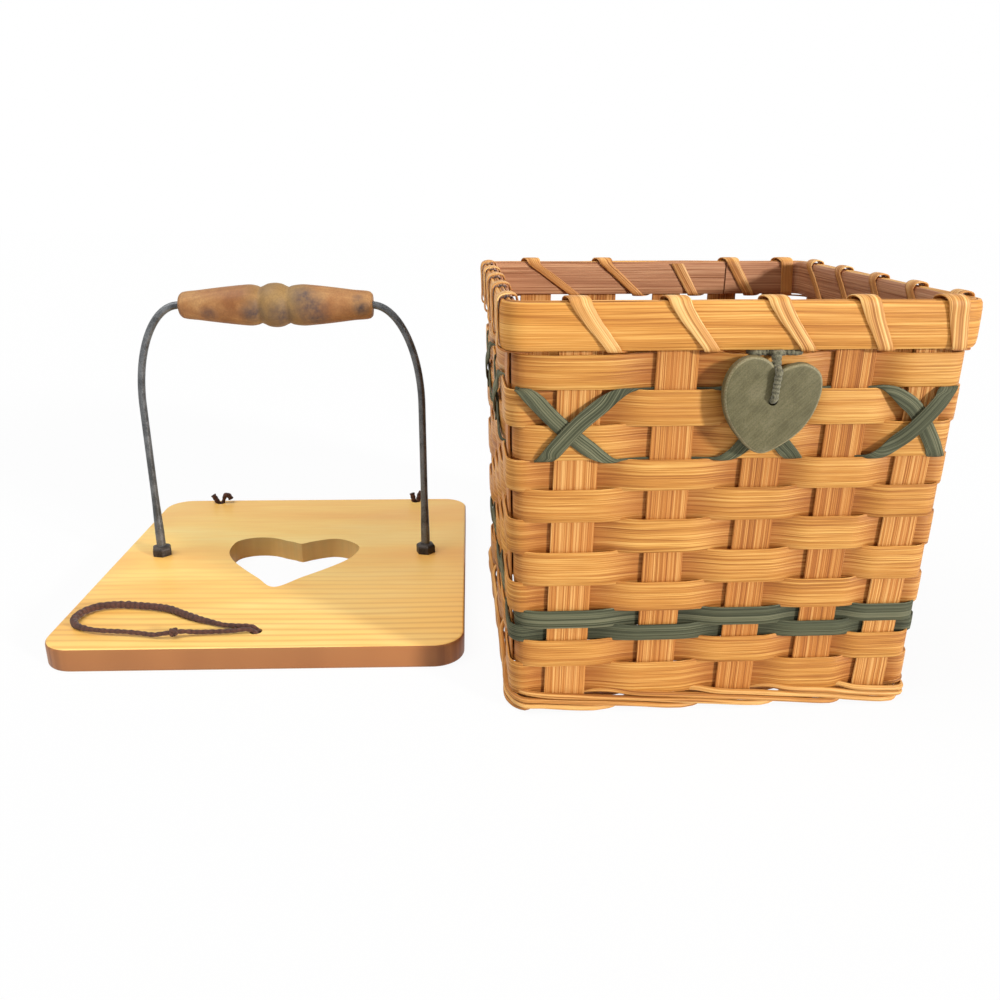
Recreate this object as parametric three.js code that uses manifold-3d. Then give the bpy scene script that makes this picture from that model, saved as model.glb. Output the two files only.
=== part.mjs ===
// A square woven splint basket with a bound rim, and its loose pine lid with a wire bail.
//
// Lengths are in millimetres. The origin is the middle of the basket's base on the floor, +X is to
// the right, -Y is the front and +Z is up. The lid lies on the floor beside the basket's left wall.

import * as THREE from "three";
import Module from "manifold-3d";
import { mergeVertices } from "three/addons/utils/BufferGeometryUtils.js";

const manifold = await Module();
manifold.setup();

const up = new THREE.Vector3(0, 0, 1);
const quarterTurn = Math.PI / 2;
const smallGap = 0.3;
const cutOverrun = 2;

// How finely round shapes are divided
const heartSteps = 4;
const bandCornerShares = [0.25, 0.75];
const rimCornerSteps = 4;
const lacingCornerSteps = 5;
const lashFaceSteps = 3;
const fillerSides = 6;
const boardCornerSteps = 5;
const holeSides = 12;
const shoulderSteps = 12;
const gripSides = 14;
const tieSteps = 20;
const rearTieSteps = 16;
const loopSteps = 54;

// Basket walls: the middle of the wall's thickness, where the upright stakes stand
const baseHalf = 85.7;
const wallFlare = 3.5;
const topHalf = baseHalf + wallFlare;
const cornerRadius = 6;
const stakeTop = 171.5;
const sideCount = 4;

// Upright stakes: U-shaped splints that run down one wall, across the base and up the other wall
const stakeThickness = 1.1;
const stakeWidth = 16;
const stakeEdgeMargin = 0.5;
const stakeBend = 1;
const bendShare = 0.3;
const crossWidthShares = [1.09, 1.03, 0.975, 1, 0.9];
const crossBaseShares = [-0.752, -0.299, 0.111, 0.495, 0.813];
const crossTopShares = [-0.693, -0.282, 0.136, 0.491, 0.834];
const lengthWidthShares = [1, 1.02, 1, 0.97, 1.03];
const lengthBaseShares = [-0.815, -0.427, -0.0175, 0.386, 0.772];
const lengthTopShares = [-0.818, -0.42, -0.023, 0.386, 0.773];
const dipReach = 4;
const humpReach = 1;

// Weavers: flat splints woven round the wall, listed from the lowest row up
const weaverThickness = 1;
const greenWidth = 6.4;
const weaveBottom = 11;
const rowGap = 0.4;
const crackGap = 1.4;
const rimCrack = 2.32;
const rows = [
  { name: "weaver_row_01", widthShare: 0.92, above: rowGap },
  { name: "weaver_row_02", widthShare: 0.875, above: rowGap },
  { name: "green_row_01", widthShare: 0.95, above: rowGap, green: true },
  { name: "green_row_02", widthShare: 1.09, above: rowGap, green: true },
  { name: "weaver_row_03", widthShare: 0.94, above: rowGap },
  { name: "weaver_row_04", widthShare: 1.08, above: rowGap },
  { name: "weaver_row_05", widthShare: 1.055, above: rowGap },
  { name: "weaver_row_06", widthShare: 1, above: rowGap },
  { name: "weaver_row_07", widthShare: 0.92, above: crackGap },
  { name: "weaver_row_08", widthShare: 1.025, above: rowGap },
  { name: "weaver_row_09", widthShare: 1.04, above: crackGap },
  { name: "weaver_row_10", widthShare: 0.95, above: rowGap },
];

// Base twining: four round reeds, each of which passes in front of three stakes and behind the next
const reedDiameter = 2.4;
const reedSides = 5;
const reedCount = 4;
const twineLift = 0.05;

// Green lacing: two narrow strands that cross over every second stake
const lacingThickness = 0.8;
const lacingWidth = 6.4;
const lacingCrackWidth = 0.8;
const lacingLead = 1;
const lacingOutRun = 4;
const lacingHalfRun = 15;
const lacingWiden = 4.5;
const lacingShift = 0.8;
const lacingRaised = 4.2;
const lacingRamp = 2.2;

// Rim: an outer and an inner band, a filler reed between them, and a flat splint wound round all
const rimHeight = 18.3;
const rimAboveStakes = 4.1;
const rimTop = stakeTop + rimAboveStakes;
const rimBottom = rimTop - rimHeight;
const rimSlot = 2.9;
const outerBandThickness = 2;
const innerBandThickness = 1.85;
const innerBandDrop = 0.6;
const bandBowShare = 0.62;
const fillerDiameter = 2.3;
const lashThickness = 0.8;
const lashWidth = 6.6;
const lashPinchedWidth = 3.2;
const lashBend = 0.9;
const lashClearance = 0.75;
const lashTopLeadShares = [0.152, 0.152, 0.152, -0.212, -0.667];
const lashBottomMarginShares = [0.03, 0.121, 0.121, -0.182, -0.333];
const lashInnerLead = 6;
const lashUnderRun = 3;
const lashCornerStart = 0.4;
const lashFirstIndex = 12;

// Heart button, its tie and the cord round the stake that it hangs from
const buttonWidth = 39.3;
const buttonHeight = 38.6;
const buttonThickness = 4.5;
const buttonEase = 0.5;
const buttonNotchShare = 0.877;
const buttonTipShare = 0.17;
const buttonHoleShare = 0.59;
const buttonHoleDiameter = 3.6;
const buttonTiltAngle = -0.045;
const buttonLegIndex = 2;
const buttonDrop = 40.9;
const buttonLift = rimBottom - buttonDrop;
const buttonSide = 0.4;
const tieDiameter = 1.6;
const tieSides = 6;
const tieNotchClearance = 2.9;

// Lid board
const boardWidth = 199;
const boardDepth = 208.7;
const boardThickness = 12;
const boardCornerRadius = 15;
const boardEase = 1.5;
const lidGap = 14.5;
const lidBack = 59.6;
const lidYawAngle = -0.027;
const cutoutWidth = 75.1;
const cutoutHeight = 70.5;
const cutoutNotchShare = 0.85;
const cutoutTipShare = 0.06;
const cutoutTurnAngle = -0.087;
const cutoutMiddle = new THREE.Vector2(-1.2, -1.4);

// Bail: a round wire with threaded feet, two nuts on each foot and a turned grip
const wireDiameter = 4;
const wireSides = 8;
const wireClearance = 0.35;
const bailInset = 23.1;
const bailSpacing = boardWidth - 2 * bailInset;
const bailBehindMiddle = 9.6;
const bailShoulder = 88;
const gripAxisHeight = 142.7;
const gripLength = 101.6;
const gripBoreClearance = 0.4;
const wireFootLift = 1;
const nutAcross = 9;
const topNutHeight = 4.4;
const lowerNutHeight = 3;
const nutSides = 6;
const counterboreDiameter = 13;
const counterboreDepth = 5.2;

// Closure loop: one cord whose two ends go down the same hole to a knot under the board
const loopDiameter = 2.6;
const loopSides = 8;
const loopHoleFromEdge = 16.35;
const loopHole = new THREE.Vector2(-1, loopHoleFromEdge - boardDepth / 2);
const loopHoleDiameter = 7.6;
const loopRecessDiameter = 12;
const loopRecessDepth = 5;
const loopKnotDiameter = 4.4;
const loopKnotIndex = 25;
const stopKnotDiameter = 9;
const stopKnotLift = 0.8;
const knotSides = 6;
const knotSteps = 12;

// Rear ties: short cord ends in two holes near the lid's rear edge
const rearTieDiameter = 1.8;
const rearTieHoleDiameter = 5.6;
const rearTieInset = 33.75;
const rearTieHoleSpacing = boardWidth - 2 * rearTieInset;
const rearTieFromEdge = 5.5;

// A heart's outline: where its lobes peak and where it is widest, and how round it is there
const lobeShare = 0.26;
const lobeReachShare = 0.12;
const widestShare = 0.7;
const upperReachShare = 0.16;
const lowerReachShare = 0.25;

const finishes = {
  splint: { color: 0xd79b50, roughness: 0.62, metalness: 0 },
  stake: { color: 0xcd8246, roughness: 0.65, metalness: 0 },
  rim: { color: 0xd79650, roughness: 0.6, metalness: 0 },
  innerRim: { color: 0xa87355, roughness: 0.65, metalness: 0 },
  green: { color: 0x505f50, roughness: 0.7, metalness: 0 },
  button: { color: 0x6e6c50, roughness: 0.6, metalness: 0 },
  buttonCord: { color: 0x5f665c, roughness: 0.9, metalness: 0 },
  pine: { color: 0xf5c578, roughness: 0.5, metalness: 0 },
  wire: { color: 0x3c3c41, roughness: 0.4, metalness: 0.8 },
  nut: { color: 0x322d2d, roughness: 0.5, metalness: 0.7 },
  grip: { color: 0xa57346, roughness: 0.45, metalness: 0 },
  loop: { color: 0x5f4137, roughness: 0.95, metalness: 0 },
};

const basketWithLid = new THREE.Group();

function addPiece(parent, name, geometry, finish) {
  const mesh = new THREE.Mesh(geometry, new THREE.MeshStandardMaterial(finishes[finish]));
  mesh.name = name;
  parent.add(mesh);
  return mesh;
}

// Shared geometry

// Six times the signed volume of a closed mesh: it is negative where the faces point in.
function signedVolume(positions, index) {
  const a = new THREE.Vector3();
  const b = new THREE.Vector3();
  const c = new THREE.Vector3();
  let total = 0;
  for (let i = 0; i < index.length; i += 3) {
    a.fromArray(positions, 3 * index[i]);
    b.fromArray(positions, 3 * index[i + 1]);
    c.fromArray(positions, 3 * index[i + 2]);
    total += a.dot(b.cross(c));
  }
  return total;
}

// A solid swept through stations. Each station has a point, the two directions that its section
// is drawn in, and the section's own points as pairs of lengths along those directions.
function sweep(stations, closed) {
  const count = stations[0].section.length;
  const positions = [];
  for (const { point, across, along, section } of stations) {
    for (const [a, b] of section) {
      const corner = point.clone().addScaledVector(across, a).addScaledVector(along, b);
      positions.push(corner.x, corner.y, corner.z);
    }
  }
  const index = [];
  const joins = closed ? stations.length : stations.length - 1;
  for (let i = 0; i < joins; i += 1) {
    const near = i * count;
    const far = ((i + 1) % stations.length) * count;
    for (let k = 0; k < count; k += 1) {
      const next = (k + 1) % count;
      index.push(near + k, near + next, far + next);
      index.push(near + k, far + next, far + k);
    }
  }
  if (!closed) {
    const last = (stations.length - 1) * count;
    for (let k = 1; k < count - 1; k += 1) {
      index.push(0, k + 1, k);
      index.push(last, last + k, last + k + 1);
    }
  }
  if (signedVolume(positions, index) < 0) {
    index.reverse();
  }
  const geometry = new THREE.BufferGeometry();
  geometry.setAttribute("position", new THREE.Float32BufferAttribute(positions, 3));
  geometry.setIndex(index);
  geometry.computeVertexNormals();
  return geometry;
}

function roundSection(diameter, count) {
  const points = [];
  for (let k = 0; k < count; k += 1) {
    const angle = (2 * Math.PI * (k + 0.5)) / count;
    points.push([(diameter / 2) * Math.cos(angle), (diameter / 2) * Math.sin(angle)]);
  }
  return points;
}

function flatSection(thickness, width) {
  return [
    [thickness / 2, width / 2],
    [thickness / 2, -width / 2],
    [-thickness / 2, -width / 2],
    [-thickness / 2, width / 2],
  ];
}

// Round tube along a cord's or wire's chosen points.
function tube(points, diameter, count, steps) {
  const path = new THREE.CatmullRomCurve3(points, false, "centripetal");
  const outline = roundSection(diameter, count).map(([x, y]) => new THREE.Vector2(x, y));
  return new THREE.ExtrudeGeometry(new THREE.Shape(outline), {
    extrudePath: path,
    steps,
    bevelEnabled: false,
  });
}

function toSolid(geometry) {
  const bare = geometry.clone();
  bare.deleteAttribute("normal");
  bare.deleteAttribute("uv");
  const merged = mergeVertices(bare);
  return new manifold.Manifold(
    new manifold.Mesh({
      numProp: 3,
      vertProperties: new Float32Array(merged.attributes.position.array),
      triVerts: new Uint32Array(merged.index.array),
    }),
  );
}

function toGeometry(solid) {
  const mesh = solid.getMesh();
  const geometry = new THREE.BufferGeometry();
  geometry.setAttribute("position", new THREE.BufferAttribute(mesh.vertProperties, 3));
  geometry.setIndex(new THREE.BufferAttribute(mesh.triVerts, 1));
  geometry.computeVertexNormals();
  return geometry;
}

function cutAll(geometry, cutters) {
  let solid = toSolid(geometry);
  for (const cutter of cutters) {
    solid = solid.subtract(toSolid(cutter));
  }
  return toGeometry(solid);
}

function uprightCylinder(diameter, bottom, top, x, y, count) {
  const geometry = new THREE.CylinderGeometry(diameter / 2, diameter / 2, top - bottom, count);
  geometry.rotateX(quarterTurn);
  geometry.translate(x, y, (bottom + top) / 2);
  return geometry;
}

// A heart's outline with its tip at the origin and its notch above: the right half, then its mirror.
function heartShape(width, height, notchShare, tipShare) {
  const lobe = lobeShare * width;
  const lobeReach = lobeReachShare * width;
  const half = width / 2;
  const notch = notchShare * height;
  const notchRise = (height - notch) / 2;
  const widest = widestShare * height;
  const upperReach = upperReachShare * height;
  const lowerReach = lowerReachShare * height;
  const curves = [
    [0, notch, notchRise, notch + notchRise, lobe - lobeReach, height, lobe, height],
    [lobe, height, lobe + lobeReach, height, half, widest + upperReach, half, widest],
    [half, widest, half, widest - lowerReach, tipShare * width, 0, 0, 0],
  ];
  const right = [];
  for (const [x0, y0, x1, y1, x2, y2, x3, y3] of curves) {
    const curve = new THREE.CubicBezierCurve(
      new THREE.Vector2(x0, y0),
      new THREE.Vector2(x1, y1),
      new THREE.Vector2(x2, y2),
      new THREE.Vector2(x3, y3),
    );
    right.push(...curve.getPoints(heartSteps).slice(0, -1));
  }
  const left = right.slice(1).reverse();
  const mirrored = left.map((point) => new THREE.Vector2(-point.x, point.y));
  return new THREE.Shape([...right, new THREE.Vector2(), ...mirrored]);
}

// Where things stand on the wall

function wallHalf(z) {
  return baseHalf + ((topHalf - baseHalf) * z) / stakeTop;
}

// Length of one wall and its next corner, measured along the middle of the wall's thickness.
function lapLength(z) {
  return 2 * (wallHalf(z) - cornerRadius) + cornerRadius * quarterTurn;
}

// The direction up the wall, which leans out from its foot to its top.
function upWall(out) {
  return up.clone().addScaledVector(out, (topHalf - baseHalf) / stakeTop);
}

// Distance round the wall to a place on one side, where u is counted from the side's middle.
function wallDistance(side, u, z) {
  return side * lapLength(z) + u + wallHalf(z) - cornerRadius;
}

// Point and outward direction at a distance round the wall. Side 0 is the front, and the distance
// runs to the right along it.
function wallAt(distance, z) {
  const inner = wallHalf(z) - cornerRadius;
  const side = Math.floor(distance / lapLength(z));
  const rest = distance - side * lapLength(z);
  const angle = Math.max(0, rest - 2 * inner) / cornerRadius;
  const out = new THREE.Vector3(Math.sin(angle), -Math.cos(angle), 0);
  const point = new THREE.Vector3(Math.min(rest, 2 * inner) - inner, -inner, z);
  point.addScaledVector(out, cornerRadius).applyAxisAngle(up, side * quarterTurn);
  out.applyAxisAngle(up, side * quarterTurn);
  return { point, out };
}

// The stakes that rise in the front and back walls, and those in the right and left walls.
function stakeFamily(widthShares, baseShares, topShares) {
  return widthShares.map((share, i) => ({
    width: share * stakeWidth,
    base: baseShares[i] * baseHalf,
    top: topShares[i] * topHalf,
  }));
}

const crossStakes = stakeFamily(crossWidthShares, crossBaseShares, crossTopShares);
const lengthStakes = stakeFamily(lengthWidthShares, lengthBaseShares, lengthTopShares);

function stakePlace(stake, z) {
  return stake.base + ((stake.top - stake.base) * z) / stakeTop;
}

// Every upright leg in order round the wall, from the front's left end.
function legsAt(z) {
  const legs = [];
  for (let side = 0; side < sideCount; side += 1) {
    const family = side % 2 === 0 ? crossStakes : lengthStakes;
    const ordered = side < 2 ? family : [...family].reverse();
    const sign = side < 2 ? 1 : -1;
    for (const stake of ordered) {
      const u = sign * stakePlace(stake, z);
      legs.push({ side, u, width: stake.width, distance: wallDistance(side, u, z) });
    }
  }
  return legs;
}

// Woven wall

const weaverOffset = stakeThickness / 2 + smallGap + weaverThickness / 2;
const basketBody = new THREE.Group();
basketWithLid.add(basketBody);

function weaverSide(leg, row) {
  return (leg + row) % 2 === 1 ? weaverOffset : -weaverOffset;
}

// Middle line of one weaver as distances round the wall with an offset in or out of it.
function weaverLine(row, z) {
  const legs = legsAt(z);
  const line = [];
  legs.forEach((leg, n) => {
    const offset = weaverSide(n, row);
    const reach = leg.width / 2 + stakeEdgeMargin;
    line.push({ distance: leg.distance - reach, offset });
    line.push({ distance: leg.distance + reach, offset });
    const next = legs[(n + 1) % legs.length];
    if (next.side !== leg.side) {
      const start = wallDistance(leg.side, wallHalf(z) - cornerRadius, z);
      const nextOffset = weaverSide(n + 1, row);
      for (const share of bandCornerShares) {
        const along = start + share * cornerRadius * quarterTurn;
        line.push({ distance: along, offset: offset + (nextOffset - offset) * share });
      }
    }
  });
  return line;
}

function weaverRing(row, bottom, height) {
  const z = bottom + height / 2;
  const section = flatSection(weaverThickness, height);
  const stations = weaverLine(row, z).map(({ distance, offset }) => {
    const { point, out } = wallAt(distance, z);
    return { point: point.addScaledVector(out, offset), across: out, along: upWall(out), section };
  });
  return sweep(stations, true);
}

// Bottom and height of every row, stacked from the twining up to the crack under the rim.
function rowStack() {
  const total = (values) => values.reduce((sum, value) => sum + value, 0);
  const gaps = total(rows.slice(0, -1).map((row) => row.above));
  const greens = total(rows.filter((row) => row.green).map((row) => row.widthShare * greenWidth));
  const shares = total(rows.filter((row) => !row.green).map((row) => row.widthShare));
  const tanWidth = (rimBottom - rimCrack - weaveBottom - gaps - greens) / shares;
  let bottom = weaveBottom;
  return rows.map((row) => {
    const height = row.widthShare * (row.green ? greenWidth : tanWidth);
    const placed = { ...row, bottom, height };
    bottom += height + row.above;
    return placed;
  });
}

const placedRows = rowStack();
placedRows.forEach((row, index) => {
  addPiece(basketBody, row.name, weaverRing(index, row.bottom, row.height), row.green ? "green" : "splint");
});

// Stakes: each is one strip whose middle line lies in a plane, thickened, widened and leaned

const lowLevel = stakeThickness / 2;
const middleLevel = lowLevel + stakeThickness + smallGap;
const highLevel = middleLevel + stakeThickness + smallGap;

function stripGeometry(line, width) {
  const outer = [];
  const inner = [];
  line.forEach((point, i) => {
    const before = line[Math.max(0, i - 1)];
    const after = line[Math.min(line.length - 1, i + 1)];
    const enter = point.clone().sub(before).normalize();
    const leave = after.clone().sub(point).normalize();
    const heading = enter.clone().add(leave).normalize();
    const straightness = i > 0 && i < line.length - 1 ? heading.dot(leave) : 1;
    const side = new THREE.Vector2(-heading.y, heading.x);
    side.multiplyScalar(stakeThickness / 2 / straightness);
    outer.push(point.clone().add(side));
    inner.push(point.clone().sub(side));
  });
  const shape = new THREE.Shape([...outer, ...inner.reverse()]);
  const geometry = new THREE.ExtrudeGeometry(shape, { depth: width, bevelEnabled: false });
  geometry.translate(0, 0, -width / 2);
  return geometry;
}

// Middle line from one rim down the wall, across the base and up to the other rim.
function stakeLine(basePoints) {
  const wallFoot = middleLevel + stakeBend;
  const leg = [
    new THREE.Vector2(-wallHalf(stakeTop), stakeTop),
    new THREE.Vector2(-wallHalf(wallFoot), wallFoot),
    new THREE.Vector2(-baseHalf + bendShare * stakeBend, middleLevel + bendShare * stakeBend),
    new THREE.Vector2(-baseHalf + stakeBend, middleLevel),
  ];
  const mirrored = [...leg].reverse().map((point) => new THREE.Vector2(-point.x, point.y));
  return [...leg, ...basePoints, ...mirrored];
}

function lean(geometry, axis, stake) {
  const positions = geometry.attributes.position;
  for (let i = 0; i < positions.count; i += 1) {
    const shift = stakePlace(stake, positions.getZ(i));
    if (axis === "x") {
      positions.setX(i, positions.getX(i) + shift);
    } else {
      positions.setY(i, positions.getY(i) + shift);
    }
  }
  geometry.computeVertexNormals();
  return geometry;
}

crossStakes.forEach((stake, i) => {
  const geometry = stripGeometry(stakeLine([]), stake.width);
  const x = new THREE.Vector3(1, 0, 0);
  const y = new THREE.Vector3(0, 1, 0);
  geometry.applyMatrix4(new THREE.Matrix4().makeBasis(y, up, x));
  addPiece(basketBody, `stake_front_back_${i + 1}`, lean(geometry, "x", stake), "stake");
});

lengthStakes.forEach((stake, j) => {
  const waves = [];
  crossStakes.forEach((crossed, i) => {
    const isLow = (i + j) % 2 === 0;
    const reach = crossed.width / 2 + (isLow ? dipReach : humpReach);
    const level = isLow ? lowLevel : highLevel;
    waves.push(new THREE.Vector2(crossed.base - reach, level));
    waves.push(new THREE.Vector2(crossed.base + reach, level));
  });
  const geometry = stripGeometry(stakeLine(waves), stake.width);
  const x = new THREE.Vector3(1, 0, 0);
  const front = new THREE.Vector3(0, -1, 0);
  geometry.applyMatrix4(new THREE.Matrix4().makeBasis(x, up, front));
  addPiece(basketBody, `stake_left_right_${j + 1}`, lean(geometry, "y", stake), "stake");
});

// Base twining: each reed sinks a level at each stake that it passes in front of, and climbs back
// to the top level behind the fourth

const twineOffset = stakeThickness / 2 + smallGap + reedDiameter / 2;
const levelRise = reedDiameter + smallGap;
const lowestReed = twineLift + reedDiameter / 2;

// Height of a reed that has passed that many stakes since it went behind one. Behind, it starts
// above the stake's run across the base.
function reedHeight(passed) {
  const front = reedCount - 1;
  const levels = passed < 1 ? 1 + passed * (front - 1) : reedCount - passed;
  return lowestReed + levels * levelRise;
}

function twineStations(strand) {
  const middle = weaveBottom / 2;
  const legs = legsAt(middle);
  const lap = sideCount * lapLength(middle);
  const pitch = lap / legs.length;
  const section = roundSection(reedDiameter, reedSides);
  const stations = [];
  const place = (distance, offset, z) => {
    const { point, out } = wallAt(distance, z);
    point.addScaledVector(out, offset);
    stations.push({ point, across: out, along: up, section });
  };
  legs.forEach((leg, n) => {
    const passed = (n + strand) % reedCount;
    const offset = passed === 0 ? -twineOffset : twineOffset;
    const reach = leg.width / 2 + smallGap;
    const next = legs[(n + 1) % legs.length];
    const ahead = next.distance + (next.distance < leg.distance ? lap : 0);
    const halfWay = (leg.distance + leg.width / 2 + ahead - next.width / 2) / 2;
    const changesSide = passed === 0 || passed === reedCount - 1;
    place(leg.distance - reach, offset, reedHeight(passed + 0.5 - reach / pitch));
    place(leg.distance + reach, offset, reedHeight(passed + 0.5 + reach / pitch));
    place(halfWay, changesSide ? 0 : twineOffset, reedHeight(passed + 1));
  });
  return stations;
}

for (let strand = 0; strand < reedCount; strand += 1) {
  addPiece(basketBody, `base_reed_${strand + 1}`, sweep(twineStations(strand), true), "splint");
}

// Green lacing: each strand runs behind one stake inside a crack between two rows, comes out,
// crosses over the next stake from one crack to the other, and goes in again

const [lowerCrack, upperCrack] = placedRows
  .filter((row) => row.above === crackGap)
  .map((row) => row.bottom + row.height + crackGap / 2);
const behindOffset = -(stakeThickness / 2 + smallGap + lacingThickness / 2);
const lacingOffset = weaverOffset + weaverThickness / 2 + smallGap + lacingThickness / 2;
const lacingTopOffset = lacingOffset + lacingThickness + smallGap;

function lacingMarks(strand) {
  const z = (upperCrack + lowerCrack) / 2;
  const legs = legsAt(z);
  const marks = [];
  const add = (distance, offset, height, width) => marks.push({ distance, offset, height, width });
  for (let n = 1; n < legs.length; n += 2) {
    const leg = legs[n];
    const over = legs[(n + 1) % legs.length];
    const after = legs[(n + 2) % legs.length];
    const lap = sideCount * lapLength(z);
    const overDistance = over.distance + (over.distance < leg.distance ? lap : 0);
    const afterDistance = after.distance + (after.distance < leg.distance ? lap : 0);
    const startsLow = ((n - 1) / 2 + strand) % 2 === 1;
    const from = startsLow ? lowerCrack : upperCrack;
    const to = startsLow ? upperCrack : lowerCrack;
    const offset = lacingOffset;
    const crossing = startsLow ? lacingTopOffset : lacingOffset;
    const out = leg.distance + leg.width / 2 + lacingLead;
    const back = afterDistance - after.width / 2 - lacingLead;
    const middle = overDistance - lacingShift;
    const begin = middle - lacingHalfRun;
    const end = middle + lacingHalfRun;
    const slope = (to - from) / (end - begin);
    add(leg.distance, behindOffset, from, lacingCrackWidth);
    add(out, behindOffset, from, lacingCrackWidth);
    add(out + lacingOutRun, offset, from, lacingCrackWidth);
    add(begin, offset, from, lacingCrackWidth);
    add(begin + lacingWiden, offset, from + slope * lacingWiden, lacingWidth);
    add(middle - lacingRaised - lacingRamp, offset, z - slope * (lacingRaised + lacingRamp), lacingWidth);
    add(middle - lacingRaised, crossing, z - slope * lacingRaised, lacingWidth);
    add(middle + lacingRaised, crossing, z + slope * lacingRaised, lacingWidth);
    add(middle + lacingRaised + lacingRamp, offset, z + slope * (lacingRaised + lacingRamp), lacingWidth);
    add(end - lacingWiden, offset, to - slope * lacingWiden, lacingWidth);
    add(end, offset, to, lacingCrackWidth);
    add(back - lacingOutRun, offset, to, lacingCrackWidth);
    add(back, behindOffset, to, lacingCrackWidth);
  }
  return marks;
}

// Extra stations where the strand goes round a corner, between the marks on its two sides.
function withCorners(marks, z) {
  const lap = lapLength(z);
  const filled = [];
  marks.forEach((mark, i) => {
    filled.push(mark);
    const next = marks[i + 1];
    if (next === undefined) {
      return;
    }
    for (let corner = 1; corner <= sideCount; corner += 1) {
      for (let step = 0; step <= lacingCornerSteps; step += 1) {
        const turned = 1 - step / lacingCornerSteps;
        const distance = corner * lap - turned * cornerRadius * quarterTurn;
        if (distance > mark.distance + smallGap && distance < next.distance - smallGap) {
          const share = (distance - mark.distance) / (next.distance - mark.distance);
          filled.push({
            distance,
            offset: mark.offset + share * (next.offset - mark.offset),
            height: mark.height + share * (next.height - mark.height),
            width: mark.width + share * (next.width - mark.width),
          });
        }
      }
    }
  });
  return filled;
}

function lacingStrand(strand) {
  const z = (upperCrack + lowerCrack) / 2;
  const lap = sideCount * lapLength(z);
  const marks = withCorners(lacingMarks(strand), z);
  const stations = marks.map((mark, i) => {
    const { point, out } = wallAt(mark.distance % lap, z);
    point.addScaledVector(out, mark.offset + wallHalf(mark.height) - wallHalf(z));
    point.z = mark.height;
    const before = marks[(i + marks.length - 1) % marks.length];
    const after = marks[(i + 1) % marks.length];
    const run = (after.distance - before.distance + lap) % lap;
    const angle = mark.width > lacingCrackWidth ? Math.atan2(after.height - before.height, run) : 0;
    const along = upWall(out).applyAxisAngle(out, angle);
    const section = flatSection(lacingThickness, mark.width);
    return { point, across: out, along, section };
  });
  return sweep(stations, true);
}

addPiece(basketBody, "lacing_strand_falling", lacingStrand(0), "green");
addPiece(basketBody, "lacing_strand_rising", lacingStrand(1), "green");

// Rim

const rimMiddle = (rimBottom + rimTop) / 2;
const outerFace = rimSlot / 2 + outerBandThickness;
const innerFace = -(rimSlot / 2 + innerBandThickness);

function rimRing(section, offset, z) {
  const stations = [];
  for (let side = 0; side < sideCount; side += 1) {
    for (let step = 0; step <= rimCornerSteps; step += 1) {
      const turned = step / rimCornerSteps;
      const start = wallDistance(side, wallHalf(rimMiddle) - cornerRadius, rimMiddle);
      const { point, out } = wallAt(start + turned * cornerRadius * quarterTurn, rimMiddle);
      point.addScaledVector(out, offset);
      point.z = z;
      stations.push({ point, across: out, along: up, section });
    }
  }
  return sweep(stations, true);
}

// Half-round band: flat towards the slot, bowed on its other face.
function bandSection(thickness, height) {
  const edge = (1 - bandBowShare) * thickness;
  return [
    [0, height / 2],
    [edge, height / 2],
    [thickness, height / 4],
    [thickness, -height / 4],
    [edge, -height / 2],
    [0, -height / 2],
  ];
}

const outerBand = bandSection(outerBandThickness, rimHeight);
const innerBand = bandSection(innerBandThickness, rimHeight - innerBandDrop).map(([a, b]) => [-a, b]);
const fillerHeight = rimTop - fillerDiameter / 2;
addPiece(basketBody, "rim_band_outer", rimRing(outerBand, rimSlot / 2, rimMiddle), "rim");
addPiece(basketBody, "rim_band_inner", rimRing(innerBand, -rimSlot / 2, rimMiddle), "innerRim");
const fillerSection = roundSection(fillerDiameter, fillerSides);
addPiece(basketBody, "rim_filler_reed", rimRing(fillerSection, 0, fillerHeight), "rim");

// Rim lashing: one flat splint wound round the bands, one turn for each stake

const lashOut = outerFace + lashClearance + lashThickness / 2;
const lashIn = innerFace - lashClearance - lashThickness / 2;
const lashTop = rimTop + lashClearance + lashThickness / 2;
const lashBottom = rimBottom - smallGap - lashThickness / 2;

// Distances round the rim at which one turn meets the outside top, outside bottom, inside bottom
// and the next turn's inside top.
function lashPlaces(leg, next, place) {
  const outerTop = leg.distance - lashTopLeadShares[place] * lashWidth;
  const margin = (0.5 + lashBottomMarginShares[place]) * lashWidth;
  const outerBottom = leg.distance + leg.width / 2 + margin;
  const isCorner = next.side !== leg.side;
  const corner = (leg.side + 1) * lapLength(rimMiddle) + lashCornerStart;
  const innerBottom = isCorner ? corner + lashPinchedWidth / 2 : outerBottom + lashUnderRun;
  const innerTop = next.distance - lashInnerLead;
  return { outerTop, outerBottom, innerBottom, innerTop };
}

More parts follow.
